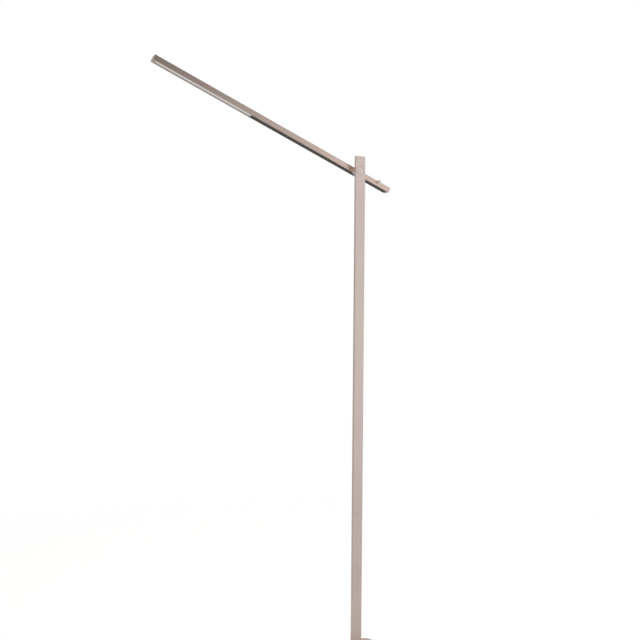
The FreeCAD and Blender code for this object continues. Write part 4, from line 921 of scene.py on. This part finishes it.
def make_surroundings():
    """White as seen straight. In the metal, a room that is dim in front and lighter behind, with
    a bright upright card at the front left."""
    world = bpy.data.worlds.new("studio")
    bpy.context.scene.world = world
    world.use_nodes = True
    tree = world.node_tree
    tree.nodes.clear()
    seen = add(tree, "ShaderNodeLightPath", {}, {})
    place = add(tree, "ShaderNodeTexCoord", {}, {})
    behind = add(tree, "ShaderNodeVectorMath", {"operation": "DOT_PRODUCT"},
                 {0: place.outputs["Generated"], 1: (0.6, 0.8, 0.0)})
    room = add(tree, "ShaderNodeMapRange", {},
               {"Value": behind.outputs["Value"], "From Min": -0.6, "From Max": 0.5,
                "To Min": 0.2, "To Max": 0.75})
    level = add(tree, "ShaderNodeVectorMath", {"operation": "MULTIPLY"},
                {0: place.outputs["Generated"], 1: (1.0, 1.0, 0.0)})
    heading = add(tree, "ShaderNodeVectorMath", {"operation": "NORMALIZE"}, {0: level.outputs["Vector"]})
    beside = add(tree, "ShaderNodeVectorMath", {"operation": "DOT_PRODUCT"},
                 {0: heading.outputs["Vector"], 1: (-0.7, -0.714, 0.0)})
    card = add(tree, "ShaderNodeMapRange", {},
               {"Value": beside.outputs["Value"], "From Min": 0.85, "From Max": 0.95,
                "To Min": 0.0, "To Max": 1.5})
    bright = add(tree, "ShaderNodeMath", {"operation": "ADD"},
                 {0: room.outputs["Result"], 1: card.outputs["Result"]})
    soft = add(tree, "ShaderNodeBackground", {}, {"Color": WHITE, "Strength": 0.8})
    reflected = add(tree, "ShaderNodeBackground", {}, {"Color": WHITE, "Strength": bright.outputs["Value"]})
    white = add(tree, "ShaderNodeBackground", {}, {"Color": WHITE, "Strength": 1.0})
    glossy = add(tree, "ShaderNodeMixShader", {},
                 {0: seen.outputs["Is Glossy Ray"], 1: soft.outputs["Background"],
                  2: reflected.outputs["Background"]})
    straight = add(tree, "ShaderNodeMath", {"operation": "MAXIMUM"},
                   {0: seen.outputs["Is Camera Ray"], 1: seen.outputs["Is Transmission Ray"]})
    mix = add(tree, "ShaderNodeMixShader", {},
              {0: straight.outputs["Value"], 1: glossy.outputs["Shader"], 2: white.outputs["Background"]})
    add(tree, "ShaderNodeOutputWorld", {}, {"Surface": mix.outputs["Shader"]})


def soft_box(name, place, target, width, height, power):
    """A rectangular soft lamp, aimed at a place. Its power is in watts."""
    bpy.ops.object.light_add(type="AREA", location=place)
    lamp = bpy.context.active_object
    lamp.name = name
    lamp.data.shape = "RECTANGLE"
    lamp.data.size = width
    lamp.data.size_y = height
    lamp.data.energy = power
    aim = Vector(target) - Vector(place)
    lamp.rotation_euler = aim.to_track_quat("-Z", "Y").to_euler()


def make_camera():
    """The photograph's view: level, a little left of the lamp's front, with a slight roll."""
    turn = [math.radians(angle) for angle in (90.05, -0.492, -25.827)]
    bpy.ops.object.camera_add(location=(-1.2505, -2.3104, 1.0427), rotation=turn)
    camera = bpy.context.active_object
    camera.name = "camera"
    camera.data.sensor_fit = "HORIZONTAL"
    camera.data.sensor_width = 36.0
    camera.data.lens = 47.89
    bpy.context.scene.camera = camera


make_floor()
make_surroundings()
soft_box("soft_box_right", place=(1.80, -2.65, 1.70), target=(0.0, 0.0, 1.1),
         width=2.0, height=3.6, power=21.0)
soft_box("soft_box_above", place=(0.2, 0.6, 3.4), target=(0.0, 0.0, 0.0),
         width=2.4, height=2.4, power=15.0)
make_camera()
bpy.context.scene.view_settings.view_transform = "Standard"

bpy.ops.object.select_all(action="DESELECT")
bpy.context.view_layer.update()
